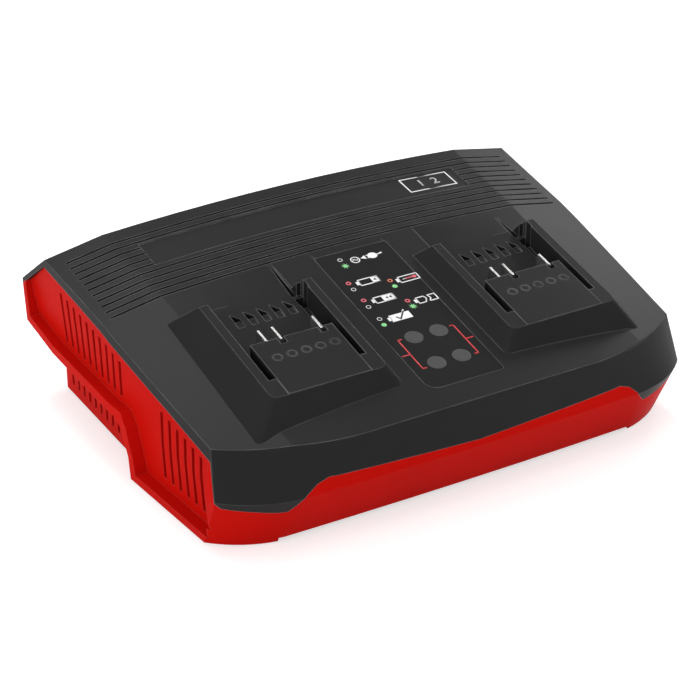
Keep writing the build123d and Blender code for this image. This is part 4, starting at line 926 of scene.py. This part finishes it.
@dataclass
class Studio:
    """Pale floor, soft lamps and the camera."""

    focal_length: float = 113.5
    sensor: float = 36.0
    camera_place: tuple[float, float, float] = (-0.4561, -0.7702, 0.5262)
    azimuth: float = math.radians(30.2)
    elevation: float = math.radians(29.1)
    floor_size: float = 60.0
    floor_colour: tuple[float, float, float] = (0.80, 0.80, 0.80)
    floor_roughness: float = 0.9
    seen_floor_colour: tuple[float, float, float] = (0.6, 0.6, 0.6)
    seen_floor_glow: float = 0.6
    horizon_strength: float = 1.0
    ceiling_strength: float = 0.2
    horizon_band: tuple[float, float] = (0.20, 0.80)
    lamp_target: tuple[float, float, float] = (0, 0, 0.04)
    view_reach: float = 20.0

    def build_camera(self) -> None:
        """Set the camera that looks down on the charger from its front left."""
        data = bpy.data.cameras.new("camera")
        data.lens = self.focal_length
        data.sensor_width = self.sensor
        data.clip_end = self.view_reach
        camera = bpy.data.objects.new("camera", data)
        camera.location = self.camera_place
        camera.rotation_euler = Euler((math.pi / 2 - self.elevation, 0, -self.azimuth))
        bpy.context.scene.collection.objects.link(camera)
        bpy.context.scene.camera = camera

    def build_floor(self) -> None:
        """Lay the pale floor."""
        deselect_all()
        bpy.ops.mesh.primitive_plane_add(size=self.floor_size, location=(0, 0, 0))
        floor = bpy.context.object
        floor.name = "studio_floor"
        material = bpy.data.materials.new("studio_floor")
        material.use_nodes = True
        tree = material.node_tree
        links = tree.links
        shader = tree.nodes["Principled BSDF"]
        shader.inputs["Roughness"].default_value = self.floor_roughness
        shader.inputs["Specular IOR Level"].default_value = 0.0
        shader.inputs["Emission Color"].default_value = (1, 1, 1, 1)
        path = add_node(tree, "ShaderNodeLightPath")
        either = add_node(tree, "ShaderNodeMath", operation="MAXIMUM")
        seen = add_node(tree, "ShaderNodeMath", operation="MAXIMUM")
        colour = add_node(tree, "ShaderNodeMix", {
            "A": (*self.floor_colour, 1.0), "B": (*self.seen_floor_colour, 1.0)}, data_type="RGBA")
        glow = add_node(tree, "ShaderNodeMath", {1: self.seen_floor_glow}, operation="MULTIPLY")
        links.new(path.outputs["Is Camera Ray"], either.inputs[0])
        links.new(path.outputs["Is Glossy Ray"], either.inputs[1])
        links.new(either.outputs[0], seen.inputs[0])
        links.new(path.outputs["Is Transmission Ray"], seen.inputs[1])
        links.new(seen.outputs[0], colour.inputs["Factor"])
        links.new(seen.outputs[0], glow.inputs[0])
        links.new(colour.outputs["Result"], shader.inputs["Base Color"])
        links.new(glow.outputs[0], shader.inputs["Emission Strength"])
        floor.data.materials.append(material)

    def build_light(self) -> None:
        """Set the lamps and the even surrounding light."""
        world = bpy.data.worlds.new("studio")
        world.use_nodes = True
        tree = world.node_tree
        links = tree.links
        sky = tree.nodes["Background"]
        sky.inputs["Color"].default_value = (1, 1, 1, 1)
        direction = add_node(tree, "ShaderNodeTexCoord")
        axes = add_node(tree, "ShaderNodeSeparateXYZ")
        low, high = self.horizon_band
        fade = add_node(tree, "ShaderNodeMapRange", {
            "From Min": low, "From Max": high, "To Min": self.horizon_strength, "To Max": self.ceiling_strength},
            interpolation_type="SMOOTHSTEP")
        links.new(direction.outputs["Generated"], axes.inputs["Vector"])
        links.new(axes.outputs["Z"], fade.inputs["Value"])
        links.new(fade.outputs["Result"], sky.inputs["Strength"])
        bpy.context.scene.world = world
        for softbox in SOFTBOXES:
            softbox.hang(Vector(self.lamp_target))

    def build(self) -> None:
        """Make the whole studio."""
        self.build_camera()
        self.build_floor()
        self.build_light()
        bpy.context.scene.view_settings.view_transform = "Standard"


# ---------------------------------------------------------------- which piece wears what
INNER_FINISHES = {
    "display_circuit_board": BOARD_GREEN, "main_circuit_board": BOARD_GREEN, "indicator_lights": CLEAR_LIGHT,
    "display_ribbon": RIBBON_GREY, "display_screws": ZINC, "holder_screws": ZINC, "board_screws": ZINC,
    "cover_screws": ZINC, "fan_screws": ZINC, "contact_blades_left": BRIGHT_METAL,
    "contact_blades_right": BRIGHT_METAL, "contact_holder_left": NYLON, "contact_holder_right": NYLON,
    "bay_leads": LEAD_RED, "transformer_core": FERRITE, "transformer_winding": TAPE, "bulk_capacitors": SLEEVE,
    "output_capacitors": SLEEVE, "heat_sinks": ALUMINIUM, "power_transistors": EPOXY, "input_choke": FERRITE,
    "mains_fuse": CERAMIC, "bridge_rectifier": EPOXY, "mains_terminal": TERMINAL_GREEN, "fan_frame": NYLON,
    "fan_stator": TAPE, "gland_nut": NYLON, "control_label": LABEL_FILM,
}

MOULDED_PIECES = (
    MouldedPiece("top_cover", "cover_shell", BLACK_PLASTIC, "black_abs", bumps=((-103.1, -87.1, 47.6, 2.0),)),
    MouldedPiece("base_housing", "base_shell", RED_PLASTIC, "red_abs"),
    MouldedPiece("light_windows", "status_windows", WINDOW, "smoked_window", sharp_angle=math.radians(35)),
    MouldedPiece("cable_gland", "inlet_gland", NYLON, "black_nylon", sharp_angle=math.radians(35)),
    MouldedPiece("rubber_feet", "bench_feet", FOOT_RUBBER, "foot_rubber", sharp_angle=math.radians(35)),
    MouldedPiece("fan_rotor", "fan_wheel", NYLON, "black_nylon", ROTOR_BODY, math.radians(35)),
)


def dress_nodes(frame: dict) -> None:
    """Give every piece that keeps its plain form its finish."""
    for node, finish in INNER_FINISHES.items():
        finish.dress(frame["nodes"][node])


def main() -> None:
    """Build the charger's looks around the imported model."""
    logging.basicConfig(level=logging.INFO, format="%(name)s: %(message)s")
    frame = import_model()
    Studio().build()
    dress_nodes(frame)
    for piece in MOULDED_PIECES:
        piece.build(frame)
    StatusLabelPrint().build()
    PlateFrame().build()
    LOG.info("sizes written")


if __name__ == "__main__":
    main()
